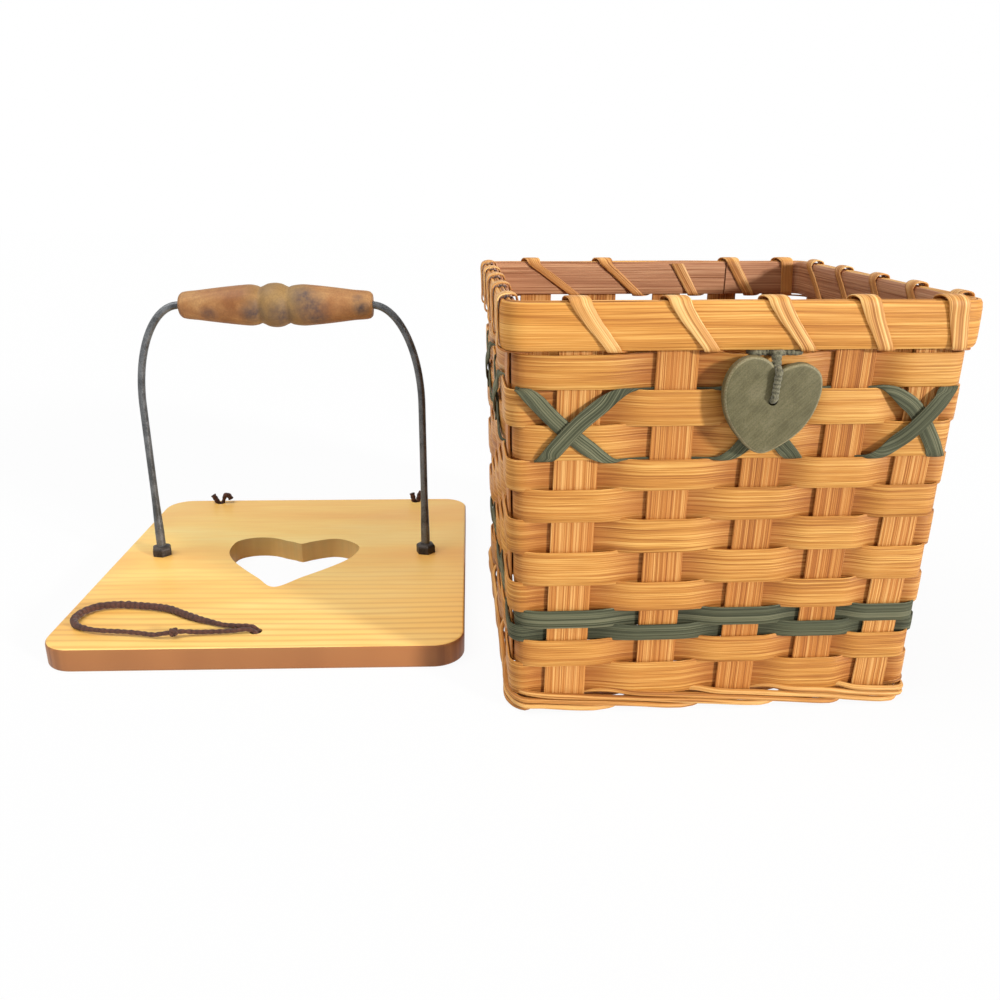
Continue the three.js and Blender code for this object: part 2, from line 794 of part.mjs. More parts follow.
function lashStations() {
  const legs = legsAt(rimMiddle);
  const lap = sideCount * lapLength(rimMiddle);
  const stations = [];
  const put = (distance, offset, z, tilt, width) => {
    const { point, out } = wallAt(((distance % lap) + lap) % lap, rimMiddle);
    point.addScaledVector(out, offset);
    point.z = z;
    const face = out.clone().multiplyScalar(Math.cos(tilt)).addScaledVector(up, Math.sin(tilt));
    stations.push({ point, face, width });
  };
  for (let turn = 0; turn < legs.length; turn += 1) {
    const n = (lashFirstIndex + turn) % legs.length;
    const leg = legs[n];
    const following = legs[(n + 1) % legs.length];
    const wraps = following.distance < leg.distance;
    const next = wraps ? { ...following, distance: following.distance + lap } : following;
    const place = n % lashTopLeadShares.length;
    const nextPlace = (n + 1) % lashTopLeadShares.length;
    const { outerTop, outerBottom, innerBottom, innerTop } = lashPlaces(leg, next, place);
    const high = lashTop - lashBend;
    const low = lashBottom + lashBend;
    for (let step = 0; step <= lashFaceSteps; step += 1) {
      const share = step / lashFaceSteps;
      const width = lashWidth + (lashPinchedWidth - lashWidth) * Math.max(0, 2 * share - 1);
      put(outerTop + share * (outerBottom - outerTop), lashOut, high + share * (low - high), 0, width);
    }
    put(outerBottom, lashOut - lashBend, lashBottom, -quarterTurn, lashPinchedWidth);
    put(innerBottom, lashIn + lashBend, lashBottom, -quarterTurn, lashPinchedWidth);
    for (let step = 0; step <= lashFaceSteps; step += 1) {
      const share = step / lashFaceSteps;
      const width = lashPinchedWidth + (lashWidth - lashPinchedWidth) * share;
      put(innerBottom + share * (innerTop - innerBottom), lashIn, low + share * (high - low), 2 * quarterTurn, width);
    }
    if (turn < legs.length - 1) {
      put(innerTop + lashBend, lashIn + lashBend, lashTop, quarterTurn, lashWidth);
      const landing = next.distance - lashTopLeadShares[nextPlace] * lashWidth - lashBend;
      put(landing, lashOut - lashBend, lashTop, quarterTurn, lashWidth);
    }
  }
  return stations;
}

// The splint lies flat on the rim: its width is square to its run and to the face that it lies on.
function lashing() {
  const marks = lashStations();
  const stations = marks.map(({ point, face, width }, i) => {
    const before = marks[Math.max(0, i - 1)].point;
    const after = marks[Math.min(marks.length - 1, i + 1)].point;
    const run = after.clone().sub(before).normalize();
    const along = new THREE.Vector3().crossVectors(run, face).normalize();
    return { point, across: face, along, section: flatSection(lashThickness, width) };
  });
  return { geometry: sweep(stations, false), marks };
}

// Least gap between one turn of the lashing and the turns beside it.
function leastTurnGap(marks) {
  const turnLength = Math.round(marks.length / legsAt(rimMiddle).length);
  let least = Infinity;
  marks.forEach((mark, i) => {
    for (let k = i + Math.floor(turnLength / 2); k < marks.length; k += 1) {
      const widths = (mark.width + marks[k].width) / 2;
      least = Math.min(least, mark.point.distanceTo(marks[k].point) - widths);
    }
  });
  return least;
}

const lash = lashing();
addPiece(basketBody, "rim_lashing", lash.geometry, "rim");
console.log(`Rim lashing: least gap between turns ${leastTurnGap(lash.marks).toFixed(2)} mm`);

// Heart button and its cords

const topRow = placedRows[placedRows.length - 1];
const anchorHeight = (topRow.bottom + topRow.height + rimBottom) / 2;
const anchorLeg = legsAt(anchorHeight)[buttonLegIndex];
const anchorWall = wallHalf(anchorHeight);
const buttonMiddle = buttonLift + buttonHeight / 2;
const buttonBack = -(wallHalf(buttonMiddle) + lacingTopOffset + lacingThickness / 2 + smallGap);
const buttonFront = buttonBack - buttonThickness;
const buttonX = anchorLeg.u + buttonSide;
const buttonBody = new THREE.Group();
basketWithLid.add(buttonBody);

function heartButton() {
  const shape = heartShape(buttonWidth - 2 * buttonEase, buttonHeight - 2 * buttonEase,
    buttonNotchShare, buttonTipShare);
  const geometry = new THREE.ExtrudeGeometry(shape, {
    depth: buttonThickness - 2 * buttonEase,
    bevelThickness: buttonEase,
    bevelSize: buttonEase,
    bevelSegments: 1,
    curveSegments: heartSteps,
  });
  geometry.translate(0, buttonEase, buttonEase);
  const top = buttonThickness + cutOverrun;
  const holeHeight = buttonHoleShare * buttonHeight;
  const drilled = cutAll(geometry, [
    uprightCylinder(buttonHoleDiameter, -cutOverrun, top, 0, holeHeight, holeSides),
  ]);
  drilled.rotateX(quarterTurn);
  return drilled;
}

const button = addPiece(buttonBody, "heart_button", heartButton(), "button");
button.position.set(buttonX, buttonBack, buttonLift);
button.rotation.set(0, buttonTiltAngle, 0);

// The cord that hangs the button lies in the crack under the rim, round the middle stake.
const anchorFront = anchorWall + stakeThickness / 2 + smallGap + tieDiameter / 2;
const anchorBack = anchorWall - stakeThickness / 2 - smallGap - tieDiameter / 2;
const anchorNose = -buttonBack - tieDiameter / 2 + smallGap;
const anchorReach = anchorLeg.width / 2 + smallGap + tieDiameter / 2;
const anchorShares = [
  [-1, 0, anchorFront],
  [-0.3, 0, anchorFront],
  [-0.1, 0, anchorNose],
  [0.1, 0, anchorNose],
  [0.3, 0, anchorFront],
  [1, 0, anchorFront],
  [1, 1, (anchorFront + anchorBack) / 2],
  [1, 0, anchorBack],
  [-1, 0, anchorBack],
  [-1, -1, (anchorFront + anchorBack) / 2],
];
const anchorStations = anchorShares.map(([share, end, depth], i) => {
  const point = new THREE.Vector3(share * anchorReach + (end * tieDiameter) / 2, -depth, 0);
  const before = anchorShares[(i + anchorShares.length - 1) % anchorShares.length];
  const after = anchorShares[(i + 1) % anchorShares.length];
  const runX = (after[0] - before[0]) * anchorReach + ((after[1] - before[1]) * tieDiameter) / 2;
  const across = new THREE.Vector3(after[2] - before[2], runX, 0).normalize();
  return { point, across, along: up, section: roundSection(tieDiameter, tieSides) };
});
const anchor = addPiece(basketBody, "button_anchor_cord", sweep(anchorStations, true), "buttonCord");
anchor.position.set(anchorLeg.u, 0, anchorHeight);

// The tie runs from the anchor's nose over the button's notch, down its face and into its hole.
const tieHole = buttonLift + buttonHoleShare * buttonHeight;
const tieNotch = buttonLift + buttonNotchShare * buttonHeight;
const tieFace = buttonFront - smallGap - tieDiameter / 2;
const tieStart = -anchorNose - tieDiameter - smallGap;
const tieRoute = [
  new THREE.Vector3(0, tieStart, anchorHeight - tieDiameter / 4),
  new THREE.Vector3(0, tieStart - tieDiameter / 2, tieNotch + tieNotchClearance + tieDiameter / 2),
  new THREE.Vector3(0, (buttonBack + buttonFront) / 2, tieNotch + tieNotchClearance),
  new THREE.Vector3(0, tieFace, tieNotch + tieDiameter),
  new THREE.Vector3(0, tieFace, (tieNotch + tieHole) / 2),
  new THREE.Vector3(0, tieFace, tieHole + tieDiameter),
  new THREE.Vector3(0, buttonFront, tieHole + tieDiameter / 4),
  new THREE.Vector3(0, (buttonBack + buttonFront) / 2, tieHole),
];
const leanedRoute = tieRoute.map(({ y, z }) => {
  const x = buttonX + Math.sin(buttonTiltAngle) * (z - buttonLift);
  return new THREE.Vector3(x, y, z);
});
addPiece(buttonBody, "heart_tie", tube(leanedRoute, tieDiameter, tieSides, tieSteps), "buttonCord");

// Lid

const lid = new THREE.Group();
lid.position.set(-(topHalf + lidGap + boardWidth / 2), lidBack, 0);
lid.rotation.z = lidYawAngle;
basketWithLid.add(lid);

const wireHole = wireDiameter + 2 * wireClearance;
const tieRow = boardDepth / 2 - rearTieFromEdge;

function boardOutline() {
  const halfWidth = boardWidth / 2 - boardEase;
  const halfDepth = boardDepth / 2 - boardEase;
  const radius = boardCornerRadius - boardEase;
  const outline = new THREE.Shape();
  outline.absarc(halfWidth - radius, halfDepth - radius, radius, 0, quarterTurn);
  outline.absarc(radius - halfWidth, halfDepth - radius, radius, quarterTurn, 2 * quarterTurn);
  outline.absarc(radius - halfWidth, radius - halfDepth, radius, 2 * quarterTurn, 3 * quarterTurn);
  outline.absarc(halfWidth - radius, radius - halfDepth, radius, 3 * quarterTurn, 4 * quarterTurn);
  return outline;
}

function lidBoard() {
  const board = new THREE.ExtrudeGeometry(boardOutline(), {
    depth: boardThickness - 2 * boardEase,
    bevelThickness: boardEase,
    bevelSize: boardEase,
    bevelSegments: 2,
    curveSegments: boardCornerSteps,
  });
  board.translate(0, 0, boardEase);
  const heart = heartShape(cutoutWidth, cutoutHeight, cutoutNotchShare, cutoutTipShare);
  const heartCutter = new THREE.ExtrudeGeometry(heart, {
    depth: boardThickness + 2 * cutOverrun,
    bevelEnabled: false,
  });
  heartCutter.translate(0, -cutoutHeight / 2, -cutOverrun);
  heartCutter.rotateZ(cutoutTurnAngle);
  heartCutter.translate(cutoutMiddle.x, cutoutMiddle.y, 0);
  const cutters = [heartCutter];
  const top = boardThickness + cutOverrun;
  for (const side of [-1, 1]) {
    const x = (side * bailSpacing) / 2;
    cutters.push(uprightCylinder(wireHole, -cutOverrun, top, x, bailBehindMiddle, holeSides));
    cutters.push(uprightCylinder(counterboreDiameter, -cutOverrun, counterboreDepth, x, bailBehindMiddle, holeSides));
    const tieX = (side * rearTieHoleSpacing) / 2;
    cutters.push(uprightCylinder(rearTieHoleDiameter, -cutOverrun, top, tieX, tieRow, holeSides));
  }
  cutters.push(uprightCylinder(loopHoleDiameter, -cutOverrun, top, loopHole.x, loopHole.y, holeSides));
  cutters.push(uprightCylinder(loopRecessDiameter, -cutOverrun, loopRecessDepth, loopHole.x, loopHole.y, holeSides));
  return cutAll(board, cutters);
}

addPiece(lid, "lid_board", lidBoard(), "pine");

// Bail wire: straight feet, a quarter ellipse at each shoulder and a straight run inside the grip
const gripAxis = boardThickness + gripAxisHeight;
const straightHalf = gripLength / 2 + smallGap;

function bailMarks() {
  const footHalf = bailSpacing / 2;
  const shoulderHeight = boardThickness + bailShoulder;
  const marks = [];
  const put = (x, z, angle) => marks.push({ x, z, angle });
  put(-footHalf, wireFootLift, Math.PI);
  for (let step = 0; step <= shoulderSteps; step += 1) {
    const t = (step / shoulderSteps) * quarterTurn;
    const x = straightHalf + (footHalf - straightHalf) * Math.cos(t);
    const z = shoulderHeight + (gripAxis - shoulderHeight) * Math.sin(t);
    const slope = Math.atan2(Math.sin(t) * (gripAxis - shoulderHeight), Math.cos(t) * (footHalf - straightHalf));
    put(-x, z, Math.PI - slope);
  }
  const right = marks.map(({ x, z, angle }) => ({ x: -x, z, angle: Math.PI - angle })).reverse();
  return [...marks, ...right];
}

function bailWire() {
  const section = roundSection(wireDiameter, wireSides);
  const side = new THREE.Vector3(0, 1, 0);
  const stations = bailMarks().map(({ x, z, angle }) => ({
    point: new THREE.Vector3(x, bailBehindMiddle, z),
    across: new THREE.Vector3(Math.cos(angle), 0, Math.sin(angle)),
    along: side,
    section,
  }));
  return sweep(stations, false);
}

addPiece(lid, "bail_wire", bailWire(), "wire");

function hexNut(height) {
  const outline = [];
  for (let k = 0; k < nutSides; k += 1) {
    const angle = (2 * k * Math.PI) / nutSides;
    outline.push(new THREE.Vector2((nutAcross / 2) * Math.cos(angle), (nutAcross / 2) * Math.sin(angle)));
  }
  const shape = new THREE.Shape(outline);
  const bore = new THREE.Path();
  bore.absarc(0, 0, wireHole / 2, 0, 2 * Math.PI, true);
  shape.holes.push(bore);
  return new THREE.ExtrudeGeometry(shape, { depth: height, bevelEnabled: false, curveSegments: wireSides });
}

for (const [side, label] of [[-1, "left"], [1, "right"]]) {
  const x = (side * bailSpacing) / 2;
  const topNut = addPiece(lid, `bail_nut_top_${label}`, hexNut(topNutHeight), "nut");
  topNut.position.set(x, bailBehindMiddle, boardThickness + smallGap);
  const lowerNut = addPiece(lid, `bail_nut_lower_${label}`, hexNut(lowerNutHeight), "nut");
  lowerNut.position.set(x, bailBehindMiddle, counterboreDepth - smallGap - lowerNutHeight);
}

// Turned grip: radii along its length as shares of its largest, from the left end to the right
const gripRadius = 11.6;
const gripProfileShares = [
  [0, 0.46], [0.012, 0.57], [0.1, 0.68], [0.22, 0.81], [0.32, 0.9], [0.37, 0.925], [0.405, 0.87],
  [0.42, 0.815], [0.435, 0.86], [0.46, 0.96], [0.495, 1], [0.53, 0.96], [0.555, 0.86], [0.568, 0.815],
  [0.583, 0.87], [0.635, 0.93], [0.69, 0.9], [0.79, 0.81], [0.9, 0.69], [0.988, 0.6], [1, 0.49],
];

function turnedGrip() {
  const bore = wireDiameter / 2 + gripBoreClearance;
  const profile = [new THREE.Vector2(bore, 0)];
  for (const [along, share] of gripProfileShares) {
    profile.push(new THREE.Vector2(share * gripRadius, along * gripLength));
  }
  profile.push(new THREE.Vector2(bore, gripLength), new THREE.Vector2(bore, 0));
  const geometry = new THREE.LatheGeometry(profile, gripSides);
  geometry.translate(0, -gripLength / 2, 0);
  geometry.rotateZ(-quarterTurn);
  return geometry;
}

const grip = addPiece(lid, "bail_grip", turnedGrip(), "grip");
grip.position.set(0, bailBehindMiddle, gripAxis);

// Closure loop: up out of the hole, round over the board and down the same hole
const loopPoints = [
  [0.3, -86.35, 4.7], [0.3, -86.35, 8.2], [0, -86.35, 10.6], [-1.5, -86.3, 12.8], [-4.4, -86.2, 13.9],
  [-9, -85.3, 13.6], [-17, -84, 13.6], [-25.2, -80.6, 13.6], [-32.4, -77.2, 13.6], [-41.4, -71.5, 13.6],
  [-48.3, -66.9, 13.6], [-55.8, -64.5, 13.6], [-64.5, -62.7, 13.6], [-71.7, -61.4, 13.6],
  [-79.5, -61.6, 13.6], [-86.2, -63.9, 13.6], [-90.6, -69.8, 13.6], [-91.4, -77.6, 13.6],
  [-87.6, -83.8, 13.6], [-80.5, -87.6, 13.6], [-72.4, -89.6, 13.6], [-64.3, -90.6, 13.6],
  [-55, -92.2, 13.6], [-47.5, -93.9, 13.7], [-42.8, -94.2, 14.6], [-38.2, -93.6, 15],
  [-33.6, -92.4, 14.6], [-28, -91.4, 13.7], [-23, -91.1, 13.6], [-18.1, -90.9, 13.6], [-10.9, -90.2, 13.6],
  [-4.4, -89.7, 13.9], [-1.5, -89.65, 12.8], [0, -89.65, 10.6], [0.3, -89.65, 8.2], [0.3, -89.65, 4.7],
];
const loopRoute = loopPoints.map(([x, y, z]) => new THREE.Vector3(x, y, z));
addPiece(lid, "closure_loop", tube(loopRoute, loopDiameter, loopSides, loopSteps), "loop");

// The knot that joins the loop's cord sits round it, and the stop knot hangs in the recess below.
const knotRun = loopRoute[loopKnotIndex + 1].clone().sub(loopRoute[loopKnotIndex - 1]);
const knotTube = (loopKnotDiameter - loopDiameter) / 4;
const knotRadius = loopDiameter / 2 + smallGap + knotTube;
const loopKnotShape = new THREE.TorusGeometry(knotRadius, knotTube, knotSides, knotSteps);
const loopKnot = addPiece(lid, "loop_knot", loopKnotShape, "loop");
loopKnot.position.copy(loopRoute[loopKnotIndex]);
loopKnot.quaternion.setFromUnitVectors(up, knotRun.normalize());

const stopKnotHeight = loopRecessDepth - 2 * stopKnotLift;
const stopKnotShape = new THREE.SphereGeometry(stopKnotDiameter / 2, knotSteps, knotSides);
stopKnotShape.rotateX(quarterTurn);
stopKnotShape.scale(1, 1, stopKnotHeight / stopKnotDiameter);
const stopKnot = addPiece(lid, "loop_stop_knot", stopKnotShape, "loop");
stopKnot.position.set(loopHole.x, loopHole.y, stopKnotLift + stopKnotHeight / 2);

// Rear ties: each cord is doubled in its hole and stands up out of it as two short tails
const rearTieRoutes = {
  left: [
    [-4.8, 0.4, 17.5], [-2.9, 0.2, 14.2], [-1.4, 0, 11], [-1.1, 0, 7.5], [-0.9, 0, 5.6], [0, 0, 4.6],
    [0.9, 0, 5.6], [1.1, 0, 7.5], [1.3, 0, 11], [2.2, 0, 14.4], [3.6, 0.2, 17.2], [5.2, 0.5, 17.2],
    [6.8, 0.8, 14.4],
  ],
  right: [
    [-2.6, 0.6, 17.6], [-1.9, 0.3, 14.2], [-1.3, 0, 11], [-1.1, 0, 7.5], [-0.9, 0, 5.6], [0, 0, 4.6],
    [0.9, 0, 5.6], [1.1, 0, 7.5], [1.3, 0, 11], [1.8, 0.4, 14.2], [2.6, 0.9, 16.8], [3.8, 1.2, 18.2],
  ],
};

for (const [side, label] of [[-1, "left"], [1, "right"]]) {
  const route = rearTieRoutes[label].map(([x, y, z]) => new THREE.Vector3(x, y, z));
  const geometry = tube(route, rearTieDiameter, tieSides, rearTieSteps);
  const rearTie = addPiece(lid, `rear_tie_${label}`, geometry, "loop");
  rearTie.position.set((side * rearTieHoleSpacing) / 2, tieRow, 0);
}

export default basketWithLid;
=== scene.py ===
# %% [markdown]
# This scene dresses a woven splint basket and the pine lid that lies beside it. The solids come in
# first as a fixed frame, so every new piece is made at its real place, in metres.

# %% Load the frame
import math
import random
import bpy
from mathutils import Matrix, Vector, noise


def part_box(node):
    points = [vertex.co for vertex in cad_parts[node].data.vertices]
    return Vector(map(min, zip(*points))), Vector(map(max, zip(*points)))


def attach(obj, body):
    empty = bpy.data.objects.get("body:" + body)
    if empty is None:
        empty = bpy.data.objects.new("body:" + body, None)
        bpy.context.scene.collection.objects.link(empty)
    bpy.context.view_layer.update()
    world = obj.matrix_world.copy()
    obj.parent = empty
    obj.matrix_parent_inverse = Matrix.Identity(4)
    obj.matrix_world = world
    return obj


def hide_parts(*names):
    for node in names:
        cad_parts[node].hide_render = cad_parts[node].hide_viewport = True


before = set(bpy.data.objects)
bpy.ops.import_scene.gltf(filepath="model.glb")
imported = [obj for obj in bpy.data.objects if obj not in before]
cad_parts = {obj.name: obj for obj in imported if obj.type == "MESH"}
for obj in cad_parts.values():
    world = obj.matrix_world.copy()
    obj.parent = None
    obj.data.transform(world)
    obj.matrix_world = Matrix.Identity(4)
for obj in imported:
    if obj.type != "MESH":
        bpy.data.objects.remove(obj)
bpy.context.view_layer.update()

scene = bpy.context.scene
MM = 0.001
QUARTER = math.pi / 2
UP = Vector((0, 0, 1))
print("nodes in the frame:", len(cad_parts))

# %% [markdown]
# The camera stands where the photographer stood: a little to the left of the basket's middle and
# above its rim, looking down into it. Its pan, tilt and roll were fitted to the basket's edges.

# %% Camera
CAMERA_PLACE = (-0.1125, -0.4235, 0.2161)
CAMERA_PAN, CAMERA_TILT, CAMERA_ROLL = -0.060, 0.338, 0.003
CAMERA_LENS, CAMERA_SENSOR = 32.43, 36


def aim_camera():
    data = bpy.data.cameras.new("camera")
    data.lens = CAMERA_LENS
    data.sensor_width = CAMERA_SENSOR
    camera = bpy.data.objects.new("camera", data)
    scene.collection.objects.link(camera)
    flat = math.cos(CAMERA_TILT)
    ahead = Vector((-math.sin(CAMERA_PAN) * flat, math.cos(CAMERA_PAN) * flat, -math.sin(CAMERA_TILT)))
    side = Vector((math.cos(CAMERA_PAN), math.sin(CAMERA_PAN), 0))
    above = side.cross(ahead)
    right = side * math.cos(CAMERA_ROLL) + above * math.sin(CAMERA_ROLL)
    top = above * math.cos(CAMERA_ROLL) - side * math.sin(CAMERA_ROLL)
    turn = Matrix((right, top, -ahead)).transposed().to_4x4()
    camera.matrix_world = Matrix.Translation(CAMERA_PLACE) @ turn
    scene.camera = camera


aim_camera()
print("camera at", CAMERA_PLACE, "with a lens of", CAMERA_LENS, "mm")

# %% [markdown]
# Materials are built from nodes. Wiring them one by one takes many lines, so these helpers add a node
# with its inputs in one line: an input is either a plain value or the output of another node.

# %% Helpers for nodes
SCREEN_LEVELS, SCREEN_GAMMA = 255, 2.2


def tint(red, green, blue):
    """A colour as it is read from a screen, made linear for the shader."""
    return tuple((c / SCREEN_LEVELS) ** SCREEN_GAMMA for c in (red, green, blue)) + (1,)


def add(tree, kind, values=None, **settings):
    made = tree.nodes.new(kind)
    for key, value in settings.items():
        setattr(made, key, value)
    for key, value in (values or {}).items():
        if isinstance(value, bpy.types.NodeSocket):
            tree.links.new(value, made.inputs[key])
        else:
            made.inputs[key].default_value = value
    return made


def maths(tree, operation, *values):
    return add(tree, "ShaderNodeMath", dict(enumerate(values)), operation=operation).outputs[0]


def mix(tree, factor, first, second, blend_type="MIX"):
    """Mixes two colours: sockets 6 and 7 of a Mix node take them, and socket 2 gives the result."""
    values = {0: factor, 6: first, 7: second}
    return add(tree, "ShaderNodeMix", values, data_type="RGBA", blend_type=blend_type).outputs[2]


def fit(tree, value, low, high, new_low=0.0, new_high=1.0):
    """Maps low to new_low and high to new_high, and holds the value between them."""
    values = {0: value, 1: low, 2: high, 3: new_low, 4: new_high}
    return add(tree, "ShaderNodeMapRange", values).outputs[0]


def ramp(tree, factor, stops):
    made = add(tree, "ShaderNodeValToRGB", {0: factor})
    elements = made.color_ramp.elements
    while len(elements) < len(stops):
        elements.new(0.5)
    for element, (place, colour) in zip(elements, stops):
        element.position = place
        element.color = colour
    return made.outputs[0]


def start_material(name, roughness=0.5, **constants):
    material = bpy.data.materials.new(name)
    material.use_nodes = True
    tree = material.node_tree
    shader = tree.nodes["Principled BSDF"]
    shader.inputs["Roughness"].default_value = roughness
    for key, value in constants.items():
        shader.inputs[key.replace("_", " ")].default_value = value
    return material, tree, shader


def bumps(tree, shader, height, strength, distance):
    values = {"Height": height, "Strength": strength, "Distance": distance}
    tree.links.new(add(tree, "ShaderNodeBump", values).outputs[0], shader.inputs["Normal"])


# %% [markdown]
# The room is a pale studio. A low key lamp from the front and the right throws the heart's shadow on
# the wall. A wide lamp high on the left lights the lid beside the basket, and a white sky fills the
# rest. The floor and the sky are white where the camera and reflections see them, and the floor keeps
# a faint shadow.

# %% Floor, sky and lamps
SKY_STRENGTH = 0.15
KEY_STRENGTH, KEY_ANGLE, KEY_FROM = 3.5, 0.12, (0.74, -0.66, 0.26)
HIGH_STRENGTH, HIGH_ANGLE, HIGH_FROM = 2.45, 0.9, (-0.4, -0.15, 0.9)
FLOOR_GLOW, FLOOR_SIZE, FLOOR_TINT = 0.94, 8, (0.8, 0.8, 0.8, 1)
WHITE = (1, 1, 1, 1)


def white_where_seen(tree):
    path = add(tree, "ShaderNodeLightPath").outputs
    seen = maths(tree, "MAXIMUM", path["Is Camera Ray"], path["Is Glossy Ray"])
    return maths(tree, "MAXIMUM", seen, path["Is Transmission Ray"])


def light_sky():
    world = bpy.data.worlds.new("pale sky")
    world.use_nodes = True
    scene.world = world
    tree = world.node_tree
    strength = fit(tree, white_where_seen(tree), 0, 1, SKY_STRENGTH, 1)
    background = tree.nodes["Background"]
    background.inputs["Color"].default_value = WHITE
    tree.links.new(strength, background.inputs["Strength"])


def hang_lamp(name, strength, angle, direction):
    data = bpy.data.lights.new(name, "SUN")
    data.energy = strength
    data.angle = angle
    lamp = bpy.data.objects.new(name, data)
    lamp.rotation_euler = Vector(direction).to_track_quat("Z", "Y").to_euler()
    scene.collection.objects.link(lamp)


def lay_floor():
    bpy.ops.mesh.primitive_plane_add(size=FLOOR_SIZE)
    floor = bpy.context.object
    floor.name = "studio_floor"
    material, tree, shader = start_material("white floor", 0.9)
    shader.inputs["Base Color"].default_value = FLOOR_TINT
    glow = add(tree, "ShaderNodeEmission", {"Color": WHITE, "Strength": 1.0})
    share = maths(tree, "MULTIPLY", white_where_seen(tree), FLOOR_GLOW)
    both = add(tree, "ShaderNodeMixShader", {0: share, 1: shader.outputs[0], 2: glow.outputs[0]})
    tree.links.new(both.outputs[0], tree.nodes["Material Output"].inputs["Surface"])
    floor.data.materials.append(material)


scene.view_settings.view_transform = "Standard"
light_sky()
hang_lamp("key lamp", KEY_STRENGTH, KEY_ANGLE, KEY_FROM)
hang_lamp("high lamp", HIGH_STRENGTH, HIGH_ANGLE, HIGH_FROM)
lay_floor()

# %% [markdown]
# Three effects serve more than one material, so each is a node group made once. Wood fibre is a
# noise that is drawn out along a strip and is fine across it. Blotches are slow patches of handling
# and age. Twist draws the slanting grooves of a laid cord from how far along and round it a point is.

# %% Shared effects


def start_group(name, inputs, outputs):
    group = bpy.data.node_groups.new(name, "ShaderNodeTree")
    for label, kind in inputs:
        group.interface.new_socket(label, in_out="INPUT", socket_type=f"NodeSocket{kind}")
    for label in outputs:
        group.interface.new_socket(label, in_out="OUTPUT", socket_type="NodeSocketFloat")
    return group, add(group, "NodeGroupInput").outputs, add(group, "NodeGroupOutput").inputs


def make_fibre_group():
    """Fibre is fine grain, Streak is broader grain, and Height is both, for the relief."""
    inputs = [("Place", "Vector"), ("Strip", "Float"), ("Along", "Float"), ("Across", "Float")]
    group, given, result = start_group("wood fibre", inputs, ["Fibre", "Streak", "Height"])
    parts = add(group, "ShaderNodeSeparateXYZ", {0: given["Place"]}).outputs
    drawn = []
    for along_share, across_share, shift in ((1, 1, 37.0), (0.45, 0.4, 11.0)):
        along = maths(group, "MULTIPLY", maths(group, "MULTIPLY", parts[0], given["Along"]), along_share)
        across = maths(group, "MULTIPLY", maths(group, "MULTIPLY", parts[1], given["Across"]), across_share)
        deep = maths(group, "MULTIPLY_ADD", given["Strip"], shift, parts[2])
        place = add(group, "ShaderNodeCombineXYZ", {0: along, 1: across, 2: deep}).outputs[0]
        values = {"Vector": place, "Scale": 1.0, "Detail": 3.0, "Roughness": 0.6}
        drawn.append(add(group, "ShaderNodeTexNoise", values).outputs[0])
    fibre = fit(group, drawn[0], 0.35, 0.65)
    streak = fit(group, drawn[1], 0.34, 0.66)
    group.links.new(fibre, result["Fibre"])
    group.links.new(streak, result["Streak"])
    group.links.new(maths(group, "MULTIPLY_ADD", streak, 0.5, fibre), result["Height"])
    return group


def make_blotch_group():
    """Mask is a cloud from 0 to 1, whose edges are the harder the higher Sharpness is."""
    inputs = [("Place", "Vector"), ("Scale", "Float"), ("Sharpness", "Float")]
    group, given, result = start_group("blotches", inputs, ["Mask"])
    values = {"Vector": given["Place"], "Scale": given["Scale"], "Detail": 4.0, "Roughness": 0.55}
    cloud = add(group, "ShaderNodeTexNoise", values).outputs[0]
    centred = maths(group, "SUBTRACT", cloud, 0.5)
    spread = maths(group, "MULTIPLY_ADD", centred, given["Sharpness"], 0.5)
    clamped = add(group, "ShaderNodeClamp", {0: spread}).outputs[0]
    group.links.new(clamped, result["Mask"])
    return group


def make_twist_group():
    """Groove runs round a cord so many turns to the metre, and Fuzz is its loose fibre."""
    inputs = [("Place", "Vector"), ("Turns", "Float"), ("Round", "Float")]
    group, given, result = start_group("twist", inputs, ["Groove", "Fuzz"])
    parts = add(group, "ShaderNodeSeparateXYZ", {0: given["Place"]}).outputs
    along = maths(group, "MULTIPLY", parts[0], given["Turns"])
    wave = maths(group, "MULTIPLY_ADD", parts[1], given["Round"], along)
    groove = maths(group, "ABSOLUTE", maths(group, "SINE", maths(group, "MULTIPLY", wave, math.pi)))
    values = {"Vector": given["Place"], "Scale": 1500.0, "Detail": 3.0, "Roughness": 0.7}
    fuzz = add(group, "ShaderNodeTexNoise", values).outputs[0]
    group.links.new(groove, result["Groove"])
    group.links.new(fit(group, fuzz, 0.3, 0.7), result["Fuzz"])
    return group


EFFECTS = {"fibre": make_fibre_group(), "blotch": make_blotch_group(), "twist": make_twist_group()}


def effect(tree, name, values):
    return add(tree, "ShaderNodeGroup", values, node_tree=EFFECTS[name]).outputs


print("shared effects:", ", ".join(EFFECTS))

# %% [markdown]
# A splint is a thin strip shaved from a log, so its grain runs the whole length of the strip. Every
# strip of the basket therefore carries its own map: how far along it a point is and how far across.
# It also carries three marks: a number of its own, its tone and how open to the light it lies.

# %% Splint finish
DULL_GLEAM, TONE_RANGE, WORN_SHARE, FIBRE_RELIEF = 0.25, 0.1, 0.4, 0.0002


def strip_coordinates(tree):
    """Place on the strip's own map, then its number, tone and shade."""
    place = add(tree, "ShaderNodeUVMap", uv_map="run").outputs[0]
    marks = [
        add(tree, "ShaderNodeAttribute", attribute_name=mark).outputs["Fac"]
        for mark in ("strip", "tone", "shade")
    ]
    return [place, *marks]


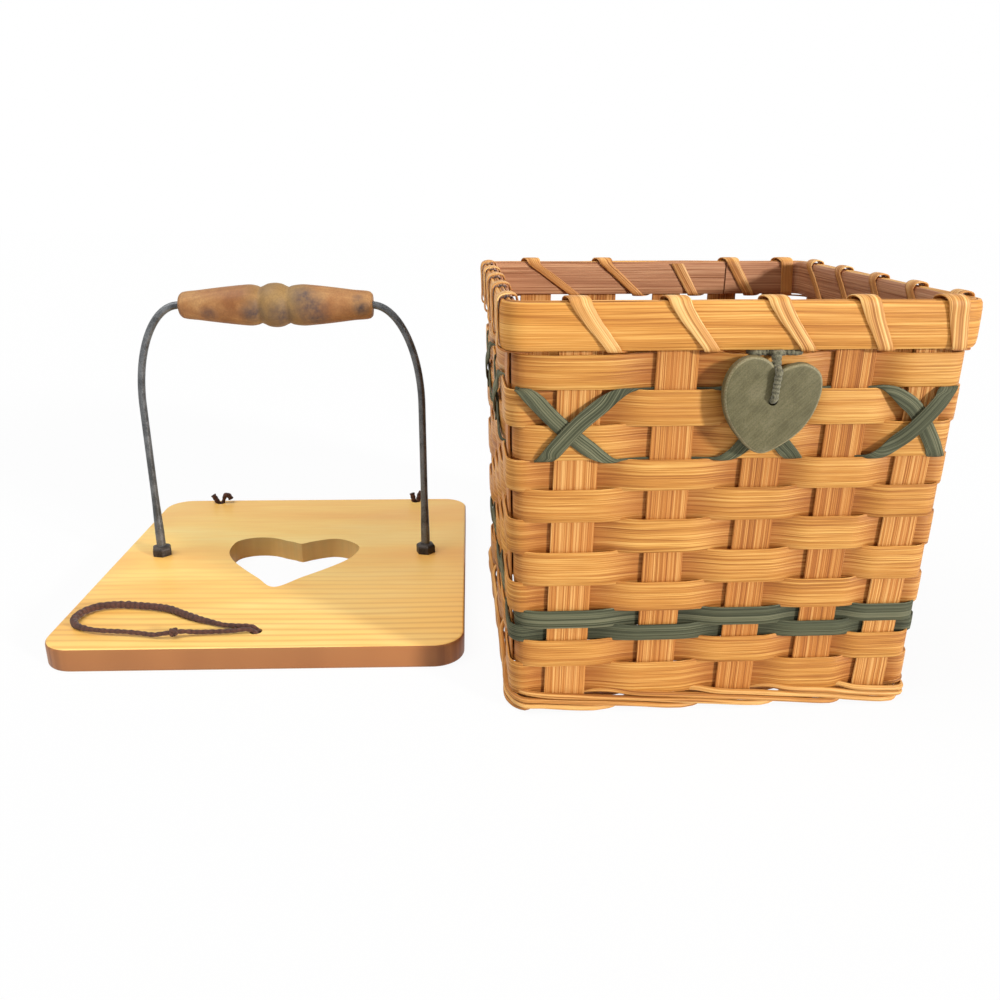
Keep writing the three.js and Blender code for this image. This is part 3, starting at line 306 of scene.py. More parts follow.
def splint_finish(
    name, dark, middle, light, worn, deep, along, across, roughness=0.5, bump=0.4, spread=0.37,
):
    """Strip of wood or dyed wood. Its fibre runs from dark to light, worn shows in blotches, and deep
    tints it where it lies shaded. Along and across are how often the fibre changes in a metre."""
    material, tree, shader = start_material(name, roughness, Specular_IOR_Level=DULL_GLEAM)
    place, strip, tone, shade = strip_coordinates(tree)
    wood = effect(tree, "fibre", {"Place": place, "Strip": strip, "Along": along, "Across": across})
    grain = maths(tree, "MULTIPLY_ADD", wood["Streak"], 0.5, maths(tree, "MULTIPLY", wood["Fibre"], 0.5))
    toned = maths(tree, "ADD", grain, fit(tree, tone, 0, 1, -TONE_RANGE, TONE_RANGE))
    colour = ramp(tree, toned, [(0.5 - spread, dark), (0.5, middle), (0.5 + spread, light)])
    apart = add(tree, "ShaderNodeCombineXYZ", {2: maths(tree, "MULTIPLY", strip, 50.0)}).outputs[0]
    stretch = {"Vector": place, "Location": apart, "Scale": (16, 130, 1)}
    drawn_out = add(tree, "ShaderNodeMapping", stretch).outputs[0]
    patch = effect(tree, "blotch", {"Place": drawn_out, "Scale": 1.0, "Sharpness": 3.0})["Mask"]
    patched = mix(tree, maths(tree, "MULTIPLY", patch, WORN_SHARE), colour, worn)
    # Painted shade: the deep tint is multiplied in and mixed over the colour where the strip's shade mark is
    # low.
    darkened = mix(tree, 0.5, patched, deep, "MULTIPLY")
    shaded = mix(tree, fit(tree, shade, 0, 1, 1, 0), patched, darkened)
    tree.links.new(shaded, shader.inputs["Base Color"])
    rough = fit(tree, wood["Fibre"], 0, 1, roughness + 0.1, roughness - 0.08)
    tree.links.new(rough, shader.inputs["Roughness"])
    bumps(tree, shader, wood["Height"], bump, FIBRE_RELIEF)
    return material


# %% [markdown]
# The tan splints are one wood that has aged differently. The level rows are golden, the stakes are
# redder and coarser, the inside of the rim is pinkish brown, in part as painted shade for the inside of
# the basket, and the lashing is the palest. The green strips are the same splint dyed, so they are
# duller and their fibre shows less.

# %% Splint colours
# The fifth colour of each finish is its deep tint, the painted shade mixed in where a strip's shade mark is
# low.
FINISHES = {
    "weaver": splint_finish(
        "tan splint", tint(150, 93, 42), tint(198, 136, 64), tint(230, 178, 100), tint(186, 120, 56),
        tint(176, 108, 70), along=24.0, across=2200.0,
    ),
    "stake": splint_finish(
        "stake splint", tint(142, 84, 40), tint(194, 126, 60), tint(230, 176, 106), tint(184, 110, 52),
        tint(170, 104, 70), along=6.0, across=2300.0, bump=0.55, spread=0.34,
    ),
    "rim": splint_finish(
        "rim band", tint(158, 98, 42), tint(208, 144, 68), tint(236, 182, 102), tint(194, 126, 56),
        tint(175, 112, 78), along=20.0, across=1900.0,
    ),
    # In part painted shade: the inner band's darker, pinker colours stand for the shade inside the basket.
    "inner_rim": splint_finish(
        "inner rim band", tint(134, 84, 54), tint(182, 128, 92), tint(208, 158, 118), tint(164, 110, 80),
        tint(160, 110, 90), along=20.0, across=1900.0,
    ),
    "lash": splint_finish(
        "rim lashing splint", tint(152, 96, 48), tint(212, 152, 84), tint(246, 206, 134),
        tint(200, 138, 76), tint(205, 150, 138), along=9.0, across=1500.0, spread=0.32,
    ),
    "green": splint_finish(
        "green stained splint", tint(52, 54, 40), tint(84, 86, 64), tint(126, 124, 96),
        tint(68, 68, 52), tint(150, 150, 150), along=8.0, across=3000.0, roughness=0.7, spread=0.34,
    ),
    "reed": splint_finish(
        "round reed", tint(120, 70, 32), tint(200, 138, 70), tint(236, 186, 112), tint(172, 108, 52),
        tint(170, 112, 84), along=14.0, across=1500.0, bump=0.5, spread=0.32,
    ),
}
print("splint finishes:", ", ".join(FINISHES))

# %% [markdown]
# Bending, weaving and winding give shapes that follow a long curved run, with a section that turns,
# widens and tapers on the way. By hand that is a strip drawn along a path. Here the run is worked out
# from the places of the stakes, and rows of numbers are smoothed into stations that lie close enough.

# %% Smooth runs


def ease(share):
    share = min(max(share, 0.0), 1.0)
    return share * share * (3 - 2 * share)


def smooth_run(rows, step, closed=False):
    """Rows of numbers that start with a point, filled in along a smooth curve, about step apart. The
    curve goes through every row, and its knots lie closer where the rows do, so it never loops."""
    count = len(rows)

    def row(i):
        return rows[i % count] if closed else rows[min(max(i, 0), count - 1)]

    filled = []
    for i in range(count if closed else count - 1):
        near = [row(i + k) for k in (-1, 0, 1, 2)]
        knots = [0.0]
        for a, b in zip(near, near[1:]):
            knots.append(knots[-1] + max(math.dist(a[:3], b[:3]) ** 0.5, MM))
        pieces = max(1, round(math.dist(near[1][:3], near[2][:3]) / step))
        for piece in range(pieces):
            t = knots[1] + (knots[2] - knots[1]) * piece / pieces
            level = near
            for reach in (1, 2, 3):
                joined = []
                for k in range(4 - reach):
                    start, end = (knots[1], knots[2]) if reach == 3 else (knots[k], knots[k + reach])
                    share = (t - start) / (end - start)
                    joined.append([a + (b - a) * share for a, b in zip(level[k], level[k + 1])])
                level = joined
            filled.append(level[0])
    if not closed:
        filled.append(list(rows[-1]))
    return filled


def path_length(path):
    return sum((b - a).length for a, b in zip(path, path[1:]))


# %% [markdown]
# Three sections serve the whole basket: a flat strip with eased edges, a round one for reed and wire,
# and a lobed one for laid cord, whose lobes turn with the twist.

# %% Sections
LOBE_LOW, LOBE_RISE = 0.82, 0.22


def strip_section(thickness, width, crown=0.08, edge=0.25):
    """Flat strip with eased edges and slightly crowned faces."""
    t, w = thickness / 2, width / 2
    e, inner = min(edge, 0.4 * w), 0.45 * w
    face = [(t - crown, w - e), (t, inner), (t, -inner), (t - crown, e - w), (0.4 * t, -w), (-0.4 * t, -w)]
    return face + [(-a, -b) for a, b in face]


def round_section(diameter, sides, lobes=0, phase=0.0):
    """Circle, or the outline of a laid cord with that many strands."""
    points = []
    for k in range(sides):
        angle = 2 * math.pi * k / sides
        lobe = LOBE_LOW + LOBE_RISE * abs(math.cos(lobes / 2 * (angle - phase)))
        swell = lobe if lobes else 1.0
        points.append((diameter / 2 * swell * math.cos(angle), diameter / 2 * swell * math.sin(angle)))
    return points


# %% [markdown]
# A strip's mesh is made from bare points and faces. It carries the map that the wood and cord
# finishes read: how far along the strip a point is, and how far round it. Its faces are turned
# outwards here, by the sign of the volume that they enclose.

# %% Meshes with a run map


def deselect():
    bpy.ops.object.select_all(action="DESELECT")


def make_active(piece):
    """Makes a piece the only selected one, so that the next operator acts on it alone."""
    deselect()
    piece.select_set(True)
    bpy.context.view_layer.objects.active = piece


def smooth_edges(piece, degrees=35):
    make_active(piece)
    bpy.ops.object.shade_smooth_by_angle(angle=math.radians(degrees))


def signed_volume(vertices, faces):
    """Six times the volume inside the faces, below zero where they point inwards."""
    total = 0.0
    for face in faces:
        for k in range(1, len(face) - 1):
            a, b, c = vertices[face[0]], vertices[face[k]], vertices[face[k + 1]]
            total += a.dot(b.cross(c))
    return total


def build_mesh(name, vertices, faces, maps, marks):
    """Object from millimetre vertices with its faces outwards, its run map and its marks."""
    if signed_volume(vertices, faces) < 0:
        faces = [face[::-1] for face in faces]
        maps = [corners[::-1] for corners in maps]
    mesh = bpy.data.meshes.new(name)
    mesh.from_pydata([v * MM for v in vertices], [], faces)
    layer = mesh.uv_layers.new(name="run")
    layer.data.foreach_set("uv", [c * MM for corners in maps for uv in corners for c in uv])
    for label, values in marks.items():
        mesh.attributes.new(label, "FLOAT", "POINT").data.foreach_set("value", values)
    piece = bpy.data.objects.new(name, mesh)
    scene.collection.objects.link(piece)
    return piece


# %% [markdown]
# A sweep joins the sections of a run. No curve tool keeps a strip flat on a wall that leans and turns,
# so each station says itself which way is out and which is across. A ring of points is put at each
# station and joined to the next. A hoop closes on itself, and an open strip gets two flat ends.

# %% Sweeping a section along a run
PLAIN_TONE = 0.5


def sweep(name, stations, closed=False, smooth=40):
    """Stations are point, out, side and section, with tone and shade where a strip changes in colour.
    The section lies in out and side. The first station's tone is the strip's own number as well."""
    count = len(stations[0]["section"])
    vertices, tones, shades, runs, rounds = [], [], [], [0.0], []
    for i, s in enumerate(stations):
        ring = [s["point"] + s["out"] * a + s["side"] * b for a, b in s["section"]]
        vertices += ring
        tones += [s.get("tone", PLAIN_TONE)] * count
        shades += [s.get("shade", 1.0)] * count
        steps = [(ring[(k + 1) % count] - ring[k]).length for k in range(count)]
        rounds.append([sum(steps[:k]) for k in range(count + 1)])
        following = stations[(i + 1) % len(stations)]
        runs.append(runs[-1] + (following["point"] - s["point"]).length)
    faces, maps = [], []
    for i in range(len(stations) if closed else len(stations) - 1):
        j = (i + 1) % len(stations)
        for k in range(count):
            m = (k + 1) % count
            faces.append([i * count + k, i * count + m, j * count + m, j * count + k])
            maps.append([
                (runs[i], rounds[i][k]), (runs[i], rounds[i][k + 1]),
                (runs[i + 1], rounds[j][k + 1]), (runs[i + 1], rounds[j][k]),
            ])
    if not closed:
        last = (len(stations) - 1) * count
        faces += [list(range(count))[::-1], list(range(last, last + count))]
        maps += [[(0.0, rounds[0][k]) for k in range(count)][::-1]]
        maps += [[(runs[-2], rounds[-1][k]) for k in range(count)]]
    strips = [stations[0].get("tone", PLAIN_TONE)] * len(vertices)
    piece = build_mesh(name, vertices, faces, maps, {"strip": strips, "tone": tones, "shade": shades})
    smooth_edges(piece, smooth)
    return piece


def tube_stations(points, section_at):
    """Stations along points without twist, whose section depends on how far along they are."""
    stations, out, run = [], None, 0.0
    for i, point in enumerate(points):
        before, after = points[max(0, i - 1)], points[min(len(points) - 1, i + 1)]
        heading = (after - before).normalized()
        if out is None:
            out = heading.orthogonal().normalized()
        out = (out - heading * out.dot(heading)).normalized()
        side = heading.cross(out)
        if i > 0:
            run += (point - points[i - 1]).length
        stations.append({"point": point, "out": out, "side": side, "section": section_at(run)})
    return stations


# %% [markdown]
# Every finished piece gets its material and the moving body that carries it, and the solids that it
# stands for are hidden, so one helper does all three.

# %% Finishing a piece


def finish_piece(piece, finish, body, slot, *nodes):
    """Gives a piece its material and its body, and hides the solids that it stands for. The slot is not used.
    """
    material = FINISHES[finish] if isinstance(finish, str) else finish
    piece.data.materials.clear()
    piece.data.materials.append(material)
    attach(piece, body)
    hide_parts(*nodes)
    return piece


# %% [markdown]
# The lid lies turned a little on the floor, so its pieces are placed by numbers on the lid and then
# turned with it. Its cords are soft laid cord: two strands twisted together, with a fuzz of loose
# fibres. A cord is a lobed section that turns as it goes along, and its material adds the fuzz and a
# painted shade in the grooves between the strands.

# %% Lid frame and cord finish
LID_PLACE = Vector((-203.2, 59.6, 0))
LID_YAW = -0.027
BOARD_THICKNESS = 12.0
CORD_RELIEF, CORD_SMOOTHING, STRANDS, CORD_SIDES = 0.0003, 70, 2, 12


def on_lid(x, y, z):
    """A place on the lid as a place in the frame, in millimetres."""
    return Matrix.Rotation(LID_YAW, 3, "Z") @ Vector((x, y, z)) + LID_PLACE


def cord_finish(name, dark, light, turns):
    """Soft laid cord with so many turns to the metre."""
    material, tree, shader = start_material(name, 0.95, Sheen_Weight=0.12, Sheen_Roughness=0.5)
    place = add(tree, "ShaderNodeUVMap", uv_map="run").outputs[0]
    laid = effect(tree, "twist", {"Place": place, "Turns": turns, "Round": 0.0})
    body = add(tree, "ShaderNodeTexCoord").outputs["Object"]
    patch = effect(tree, "blotch", {"Place": body, "Scale": 260.0, "Sharpness": 2.2})["Mask"]
    soft = maths(tree, "MULTIPLY_ADD", laid["Fuzz"], 0.4, maths(tree, "MULTIPLY", patch, 0.25))
    # Painted shade: the groove pattern darkens the colour along the grooves between the strands.
    fuzz_and_groove_shade = maths(tree, "MULTIPLY_ADD", laid["Groove"], 0.2, soft)
    tree.links.new(ramp(tree, fuzz_and_groove_shade, [(0.15, dark), (0.75, light)]), shader.inputs["Base Color"])
    height = maths(tree, "MULTIPLY_ADD", laid["Groove"], 0.25, laid["Fuzz"])
    bumps(tree, shader, height, 0.6, CORD_RELIEF)
    return material


FINISHES["brown_cord"] = cord_finish("brown cord", tint(40, 24, 20), tint(100, 64, 52), 380.0)
FINISHES["grey_cord"] = cord_finish("grey green cord", tint(36, 34, 27), tint(146, 140, 112), 620.0)
print("the lid's front middle in the frame, mm:", [round(c, 1) for c in on_lid(0, -100, 0)])


def laid_cord(name, points, diameter_at, pitch, step):
    """Cord of twisted strands along points that are smoothed first, and the path that it takes."""
    path = [Vector(row) for row in smooth_run([list(p) for p in points], step)]

    def section_at(run):
        return round_section(diameter_at(run), CORD_SIDES, STRANDS, 2 * math.pi * run / pitch)

    return sweep(name, tube_stations(path, section_at), smooth=CORD_SMOOTHING), path


# %% [markdown]
# The closure loop is one brown cord whose two ends go down the same hole to a knot under the board.
# It was tied together once more where it comes back, so a small knot sits on it. The route repeats
# the solid's route, and the cord is thick on its left part and thin where it was pulled tight.

# %% Closure loop and its knots
LOOP_POINTS = [
    (0.3, -86.35, 4.7), (0.3, -86.35, 8.2), (0, -86.35, 10.6), (-1.5, -86.3, 12.8), (-4.4, -86.2, 13.9),
    (-9, -85.3, 13.6), (-17, -84, 13.6), (-25.2, -80.6, 13.8), (-32.4, -77.2, 14), (-41.4, -71.5, 14.1),
    (-48.3, -66.9, 14.1), (-55.8, -64.5, 14.1), (-64.5, -62.7, 14.1), (-71.7, -61.4, 14.1),
    (-79.5, -61.6, 14.1), (-86.2, -63.9, 14.1), (-90.6, -69.8, 14.1), (-91.4, -77.6, 14.1),
    (-87.6, -83.8, 14.1), (-80.5, -87.6, 14.1), (-72.4, -89.6, 14.1), (-64.3, -90.6, 14.1),
    (-55, -92.2, 14), (-47.5, -93.9, 13.9), (-42.8, -94.2, 14.6), (-38.2, -93.6, 15),
    (-33.6, -92.4, 14.6), (-28, -91.4, 13.7), (-23, -91.1, 13.6), (-18.1, -90.9, 13.6), (-10.9, -90.2, 13.6),
    (-4.4, -89.7, 13.9), (-1.5, -89.65, 12.8), (0, -89.65, 10.6), (0.3, -89.65, 8.2), (0.3, -89.65, 4.7),
]
LOOP_DIAMETER, LOOP_PITCH, LOOP_STEP = 2.6, 7.0, 0.8
LUMP_HEIGHT, LUMPS_PER_MM, LUMP_LANE = 0.14, 0.45, 3.1
THICK_FROM, THICKENS_OVER, THICK_TO, THINS_OVER = 22, 25, 135, 20
THIN_SHARE, THICK_GAIN = 0.86, 0.56
KNOT_PLACE, STOP_KNOT_PLACE = (-38.2, -93.6, 15.0), (-1.0, -88.0, 2.5)
KNOT_HEADING, KNOT_REACH, KNOT_DEPTH = (1, 0.2, 0), 1.05, 1.2
STOP_KNOT_REACH, STOP_KNOT_DEPTH = 2.1, 0.8
KNOT_CORD, KNOT_POINTS, KNOT_SIDES, KNOT_TWIST = 1.7, 60, 10, 1.1
loop_route = [on_lid(*point) for point in LOOP_POINTS]


def loop_diameter(run):
    """Thick and fuzzy over the left part of the loop, thinner with lumps where it comes back."""
    lump = LUMP_HEIGHT * noise.noise(Vector((run * LUMPS_PER_MM, LUMP_LANE, 0)))
    thick = ease((run - THICK_FROM) / THICKENS_OVER) * ease((THICK_TO - run) / THINS_OVER)
    return LOOP_DIAMETER * (1.0 + lump) * (THIN_SHARE + THICK_GAIN * thick)


closure_cord, loop_path = laid_cord("closure_loop_cord", loop_route, loop_diameter, LOOP_PITCH, LOOP_STEP)


def tied_knot(name, place, heading, reach, depth):
    """Overhand knot: its cord goes twice round and passes over and under itself three times."""
    turn = UP.rotation_difference(Vector(heading).normalized()).to_matrix()
    points = []
    for k in range(KNOT_POINTS):
        t = 2 * math.pi * k / KNOT_POINTS
        swing = reach * (1 + 0.45 * math.cos(3 * t))
        points.append((swing * math.cos(2 * t), swing * math.sin(2 * t), depth * math.sin(3 * t)))
    path = [turn @ Vector(point) + Vector(place) for point in points]
    stations = tube_stations(
        path, lambda run: round_section(KNOT_CORD, KNOT_SIDES, STRANDS, run * KNOT_TWIST))
    return sweep(name, stations, smooth=CORD_SMOOTHING)


loop_knot = tied_knot("closure_loop_knot", on_lid(*KNOT_PLACE), KNOT_HEADING, KNOT_REACH, KNOT_DEPTH)
stop_knot = tied_knot("closure_stop_knot", on_lid(*STOP_KNOT_PLACE), UP, STOP_KNOT_REACH, STOP_KNOT_DEPTH)
finish_piece(closure_cord, "brown_cord", "lid", "brown_cord", "closure_loop")
finish_piece(loop_knot, "brown_cord", "lid", "brown_cord", "loop_knot")
finish_piece(stop_knot, "brown_cord", "lid", "brown_cord", "loop_stop_knot")
loop_length = path_length(loop_path) * MM
print("closure loop length in metres:", round(loop_length, 4))

# %% [markdown]
# Two short cord ends stand in holes at the rear, where the lid was once tied to the basket. Each goes
# down through its hole and up again, is squeezed in the hole and spreads where it stands free.

# %% Rear ties
TIE_HOLE_X, TIE_ROW_Y = 65.75, 98.85
REAR_TIES = {
    "left": (-1, [
        (-4.8, 0.4, 17.5), (-2.9, 0.2, 14.2), (-1.4, 0, 11), (-1.1, 0, 7.5), (-0.9, 0, 5.6), (0, 0, 4.6),
        (0.9, 0, 5.6), (1.1, 0, 7.5), (1.3, 0, 11), (2.2, 0, 14.4), (3.6, 0.2, 17.2), (5.2, 0.5, 17.2),
        (6.8, 0.8, 14.4),
    ]),
    "right": (1, [
        (-2.6, 0.6, 17.6), (-1.9, 0.3, 14.2), (-1.3, 0, 11), (-1.1, 0, 7.5), (-0.9, 0, 5.6), (0, 0, 4.6),
        (0.9, 0, 5.6), (1.1, 0, 7.5), (1.3, 0, 11), (1.8, 0.4, 14.2), (2.6, 0.9, 16.8), (3.8, 1.2, 18.2),
    ]),
}
TIE_IN_HOLE, TIE_IN_AIR, TIE_FREE, TIE_SPREADS_OVER = 2.3, 3.4, 8.5, 4
TIE_PITCH, TIE_STEP = 4.5, 0.5


def tie_diameter(run, length):
    """The cord spreads where it stands free and is squeezed where it goes through its hole."""
    from_end = min(run, length - run)
    free = ease((TIE_FREE - from_end) / TIE_SPREADS_OVER)
    return TIE_IN_HOLE + (TIE_IN_AIR - TIE_IN_HOLE) * free


for label, (way, points) in REAR_TIES.items():
    route = [on_lid(way * TIE_HOLE_X + x, TIE_ROW_Y + y, z) for x, y, z in points]
    length = path_length(route)
    tail, _ = laid_cord(
        f"rear_tie_cord_{label}", route, lambda run: tie_diameter(run, length), TIE_PITCH, TIE_STEP)
    finish_piece(tail, "brown_cord", "lid", "brown_cord", f"rear_tie_{label}")
    print("rear tie", label, "length in mm:", round(length, 1))

# %% [markdown]
# The basket's wall is square with small round corners and leans out a little. Every strip is placed
# by a distance round that wall, so these few functions are the basket's measuring tape.

# %% The wall
BASE_HALF, TOP_HALF, CORNER = 85.7, 89.2, 6.0
STAKE_TOP, STAKE_WIDTH, STAKE_THICKNESS = 171.5, 16.0, 1.1
SMALL_GAP = 0.3
LANE_SPACING, LANE_DEPTH = 7.31, 2.7

# For each stake: its share of the usual width, then its place as a share of the wall's half width,
# at the foot and at the top
STAKE_SHARES = {
    "cross": ([1.09, 1.03, 0.975, 1, 0.9], [-0.752, -0.299, 0.111, 0.495, 0.813],
              [-0.693, -0.282, 0.136, 0.491, 0.834]),
    "length": ([1, 1.02, 1, 0.97, 1.03], [-0.815, -0.427, -0.0175, 0.386, 0.772],
               [-0.818, -0.42, -0.023, 0.386, 0.773]),
}
STAKES = {
    family: [
        {"width": w * STAKE_WIDTH, "base": b * BASE_HALF, "top": t * TOP_HALF}
        for w, b, t in zip(*shares)
    ]
    for family, shares in STAKE_SHARES.items()
}


def wall_half(z):
    return BASE_HALF + (TOP_HALF - BASE_HALF) * z / STAKE_TOP


def lap_length(z):
    return 2 * (wall_half(z) - CORNER) + CORNER * QUARTER


def wall_distance(side, u, z):
    return side * lap_length(z) + u + wall_half(z) - CORNER


def wall_at(distance, z):
    """Point and outward direction at a distance round the wall, which starts at the front's left."""
    inner = wall_half(z) - CORNER
    side = math.floor(distance / lap_length(z))
    rest = distance - side * lap_length(z)
    angle = max(0.0, rest - 2 * inner) / CORNER
    out = Vector((math.sin(angle), -math.cos(angle), 0))
    point = Vector((min(rest, 2 * inner) - inner, -inner, z)) + out * CORNER
    turn = Matrix.Rotation(side * QUARTER, 3, "Z")
    return turn @ point, turn @ out


def up_wall(out):
    return (UP + out * ((TOP_HALF - BASE_HALF) / STAKE_TOP)).normalized()


def stake_place(stake, z):
    return stake["base"] + (stake["top"] - stake["base"]) * z / STAKE_TOP


def legs_at(z):
    """Every upright leg in order round the wall."""
    legs = []
    for side in range(4):
        family = STAKES["cross" if side % 2 == 0 else "length"]
        ordered, sign = (family, 1) if side < 2 else (family[::-1], -1)
        for stake in ordered:
            u = sign * stake_place(stake, z)
            legs.append({"side": side, "width": stake["width"], "distance": wall_distance(side, u, z)})
    return legs


def wander(place, lane, reach):
    """A slow, repeatable drift, as a hand-shaved strip has. Each use has a lane of its own."""
    return reach * noise.noise(Vector((place, lane * LANE_SPACING, LANE_DEPTH)))


print("laps at the foot and the rim, mm:", round(4 * lap_length(0), 1), round(4 * lap_length(STAKE_TOP), 1))

# %% [markdown]
# Weavers are the level rows. Each passes in front of one stake and behind the next, and the row above
# does the opposite. Two narrow green rows break the tan. Each strip wanders a little in width, its
# edges are eased, and it bulges slightly over the stake that it covers.

# %% Weavers
WEAVER_THICKNESS, WEAVER_OFFSET, WEAVER_BULGE, STRIP_STEP = 1.0, 1.35, 0.1, 2.2
ROW_SWELL, HIDDEN_SWELL, SEAM_SHARE = 1.1, 1.0, 0.61
ROWS = [
    ("weaver_row_01", 9.0, 22.68), ("weaver_row_02", 23.08, 34.2), ("green_row_01", 34.6, 40.68),
    ("green_row_02", 41.08, 48.05), ("weaver_row_03", 48.45, 60.39), ("weaver_row_04", 60.79, 74.51),
    ("weaver_row_05", 74.91, 88.31), ("weaver_row_06", 88.71, 101.41), ("weaver_row_07", 101.81, 113.49),
    ("weaver_row_08", 114.89, 127.91), ("weaver_row_09", 128.31, 141.51), ("weaver_row_10", 142.91, 154.98),
]
TOP_DIP, DIP_FROM, DIP_OVER = 2.6, 60, 20
DRIFT_LENGTH, WIDTH_LANE, HEIGHT_LANE, TONE_LANE = 40, 0, 20, 40
rng = random.Random(41)


def weaver_side(leg, row):
    """Outside the stake it is 1, behind it -1."""
    return 1 if (leg + row) % 2 == 1 else -1


def weave_depth(distance, row, legs, lap):
    """How far out of the wall's middle a weaver is, from -1 behind a stake to 1 in front of one."""
    for n, leg in enumerate(legs):
        following = legs[(n + 1) % len(legs)]
        ahead = following["distance"] + (lap if following["distance"] < leg["distance"] else 0)
        at = distance if distance >= legs[0]["distance"] else distance + lap
        if leg["distance"] <= at < ahead:
            start = leg["distance"] + leg["width"] / 2 + SMALL_GAP
            end = ahead - following["width"] / 2 - SMALL_GAP
            share = ease((at - start) / (end - start))
            return weaver_side(n, row) + (weaver_side(n + 1, row) - weaver_side(n, row)) * share
    return 0.0


def over_bulge(depth):
    """A weaver lies a little further out right over a stake, and further in right behind one."""
    return WEAVER_BULGE * depth if abs(depth) > 0.999 else 0.0


def dip_of_top_row(point, name):
    """The top row of the back wall sags between stakes, which leaves light gaps under the rim."""
    if name != ROWS[-1][0] or point.y < DIP_FROM:
        return 0.0
    return -TOP_DIP * ease((point.y - DIP_FROM) / DIP_OVER)


def weaver_strip(index, name, bottom, top):
    z = (bottom + top) / 2
    legs, lap = legs_at(z), 4 * lap_length(z)
    tone, count = rng.random(), round(lap / STRIP_STEP)
    stations = []
    for i in range(count):
        distance = (SEAM_SHARE + i / count) * lap % lap
        depth = weave_depth(distance, index, legs, lap)
        point, out = wall_at(distance, z)
        loop_place = min(distance, lap - distance) / DRIFT_LENGTH
        hidden = HIDDEN_SWELL * (1 - depth) / 2
        width = top - bottom + ROW_SWELL + hidden + wander(loop_place, index + WIDTH_LANE, 0.2)
        sink = dip_of_top_row(point, name)
        point = point + out * (WEAVER_OFFSET * depth + over_bulge(depth))
        point.z += wander(loop_place * 0.6, index + HEIGHT_LANE, 0.2) + sink / 2
        stations.append({
            "point": point, "out": out, "side": up_wall(out),
            "section": strip_section(WEAVER_THICKNESS, width + sink / 2),
            "tone": tone + wander(loop_place * 0.7, index + TONE_LANE, 0.25),
            # Painted shade: the shade mark is lowest where the weaver passes behind a stake, and its finish
            # darkens it there.
            "shade": 0.5 + 0.5 * depth,
        })
    return sweep(f"{name}_splint", stations, closed=True)


for index, (name, bottom, top) in enumerate(ROWS):
    finish, slot = ("green", "green_splint") if name.startswith("green") else ("weaver", "splint")
    finish_piece(weaver_strip(index, name, bottom, top), finish, "basket", slot, name)
print("weaver rows:", len(ROWS))

# %% [markdown]
# Stakes are the upright splints. Each one is a single strip that runs down one wall, across the base
# and up the opposite wall, and the ten of them weave through each other under the basket. They are
# pressed a little in or out by the weavers that cross them.

# %% Stake routes
LOW_LEVEL = STAKE_THICKNESS / 2
MIDDLE_LEVEL = LOW_LEVEL + STAKE_THICKNESS + SMALL_GAP
HIGH_LEVEL = MIDDLE_LEVEL + STAKE_THICKNESS + SMALL_GAP
FOOT_RADIUS, DIP_REACH, HUMP_REACH, LEVEL_FADE = 2.2, 4.0, 1.0, 6
STAKE_PRESS, STAKE_STEP, BEND_STEPS, BASE_STEPS = 0.18, 2.6, 4, 70


def press(z, leg):
    """A stake leans away from the weaver that crosses it."""
    middles = [(bottom + top) / 2 for name, bottom, top in ROWS]
    if z <= middles[0] or z >= middles[-1]:
        return 0.0
    row = max(i for i, middle in enumerate(middles) if middle <= z)
    share = ease((z - middles[row]) / (middles[row + 1] - middles[row]))
    signs = [-weaver_side(leg, row), -weaver_side(leg, row + 1)]
    return STAKE_PRESS * (signs[0] + (signs[1] - signs[0]) * share)


def base_level(s, j, family):
    """Height of a stake's middle at a place across the base. Those that run front to back stay level,
    and the others pass over and under them in turn."""
    if family == "cross":
        return MIDDLE_LEVEL
    level, weight = 0.0, 0.0
    for i, crossed in enumerate(STAKES["cross"]):
        low = (i + j) % 2 == 0
        reach = crossed["width"] / 2 + (DIP_REACH if low else HUMP_REACH)
        near = max(0.0, 1 - max(0.0, abs(s - crossed["base"]) - reach) / LEVEL_FADE)
        weight += near
        level += near * (LOW_LEVEL if low else HIGH_LEVEL)
    if weight == 0.0:
        return MIDDLE_LEVEL
    return MIDDLE_LEVEL + (level / weight - MIDDLE_LEVEL) * min(weight, 1.0)


def stake_profile(j, family, legs):
    """Points in the plane of one stake, from one rim down, across the base and up to the other."""
    wall = []
    steps = round((STAKE_TOP - MIDDLE_LEVEL - FOOT_RADIUS) / STAKE_STEP)
    for i in range(steps + 1):
        z = STAKE_TOP + (MIDDLE_LEVEL + FOOT_RADIUS - STAKE_TOP) * i / steps
        wall.append((-wall_half(z) - press(z, legs[0]), z))
    for k in range(1, BEND_STEPS):
        angle = QUARTER * k / BEND_STEPS
        s = -BASE_HALF + FOOT_RADIUS * (1 - math.cos(angle))
        wall.append((s, MIDDLE_LEVEL + FOOT_RADIUS * (1 - math.sin(angle))))
    run = BASE_HALF - FOOT_RADIUS
    across = [-run + 2 * run * i / BASE_STEPS for i in range(BASE_STEPS + 1)]
    base = [(s, base_level(s, j, family)) for s in across]
    mirrored = []
    for s, z in wall[::-1]:
        shift = press(z, legs[1]) - press(z, legs[0])
        mirrored.append((-s + (shift if z > MIDDLE_LEVEL + FOOT_RADIUS else 0.0), z))
    return wall + base + mirrored


print("levels of the stakes in the base, mm:", LOW_LEVEL, round(MIDDLE_LEVEL, 2), round(HIGH_LEVEL, 2))

# %% [markdown]
# Each stake is swept along its route. Its out direction stands square to the route, so the strip
# stays flat on the wall, through the bend at the foot and under the base. Its width and its tone
# drift a little on the way, as in split wood.

# %% Stakes
STAKE_CROWN = 0.1
STAKE_WIDTH_LANES = {"cross": 60, "length": 70}
STAKE_TONE_LANES = {"cross": 80, "length": 90}


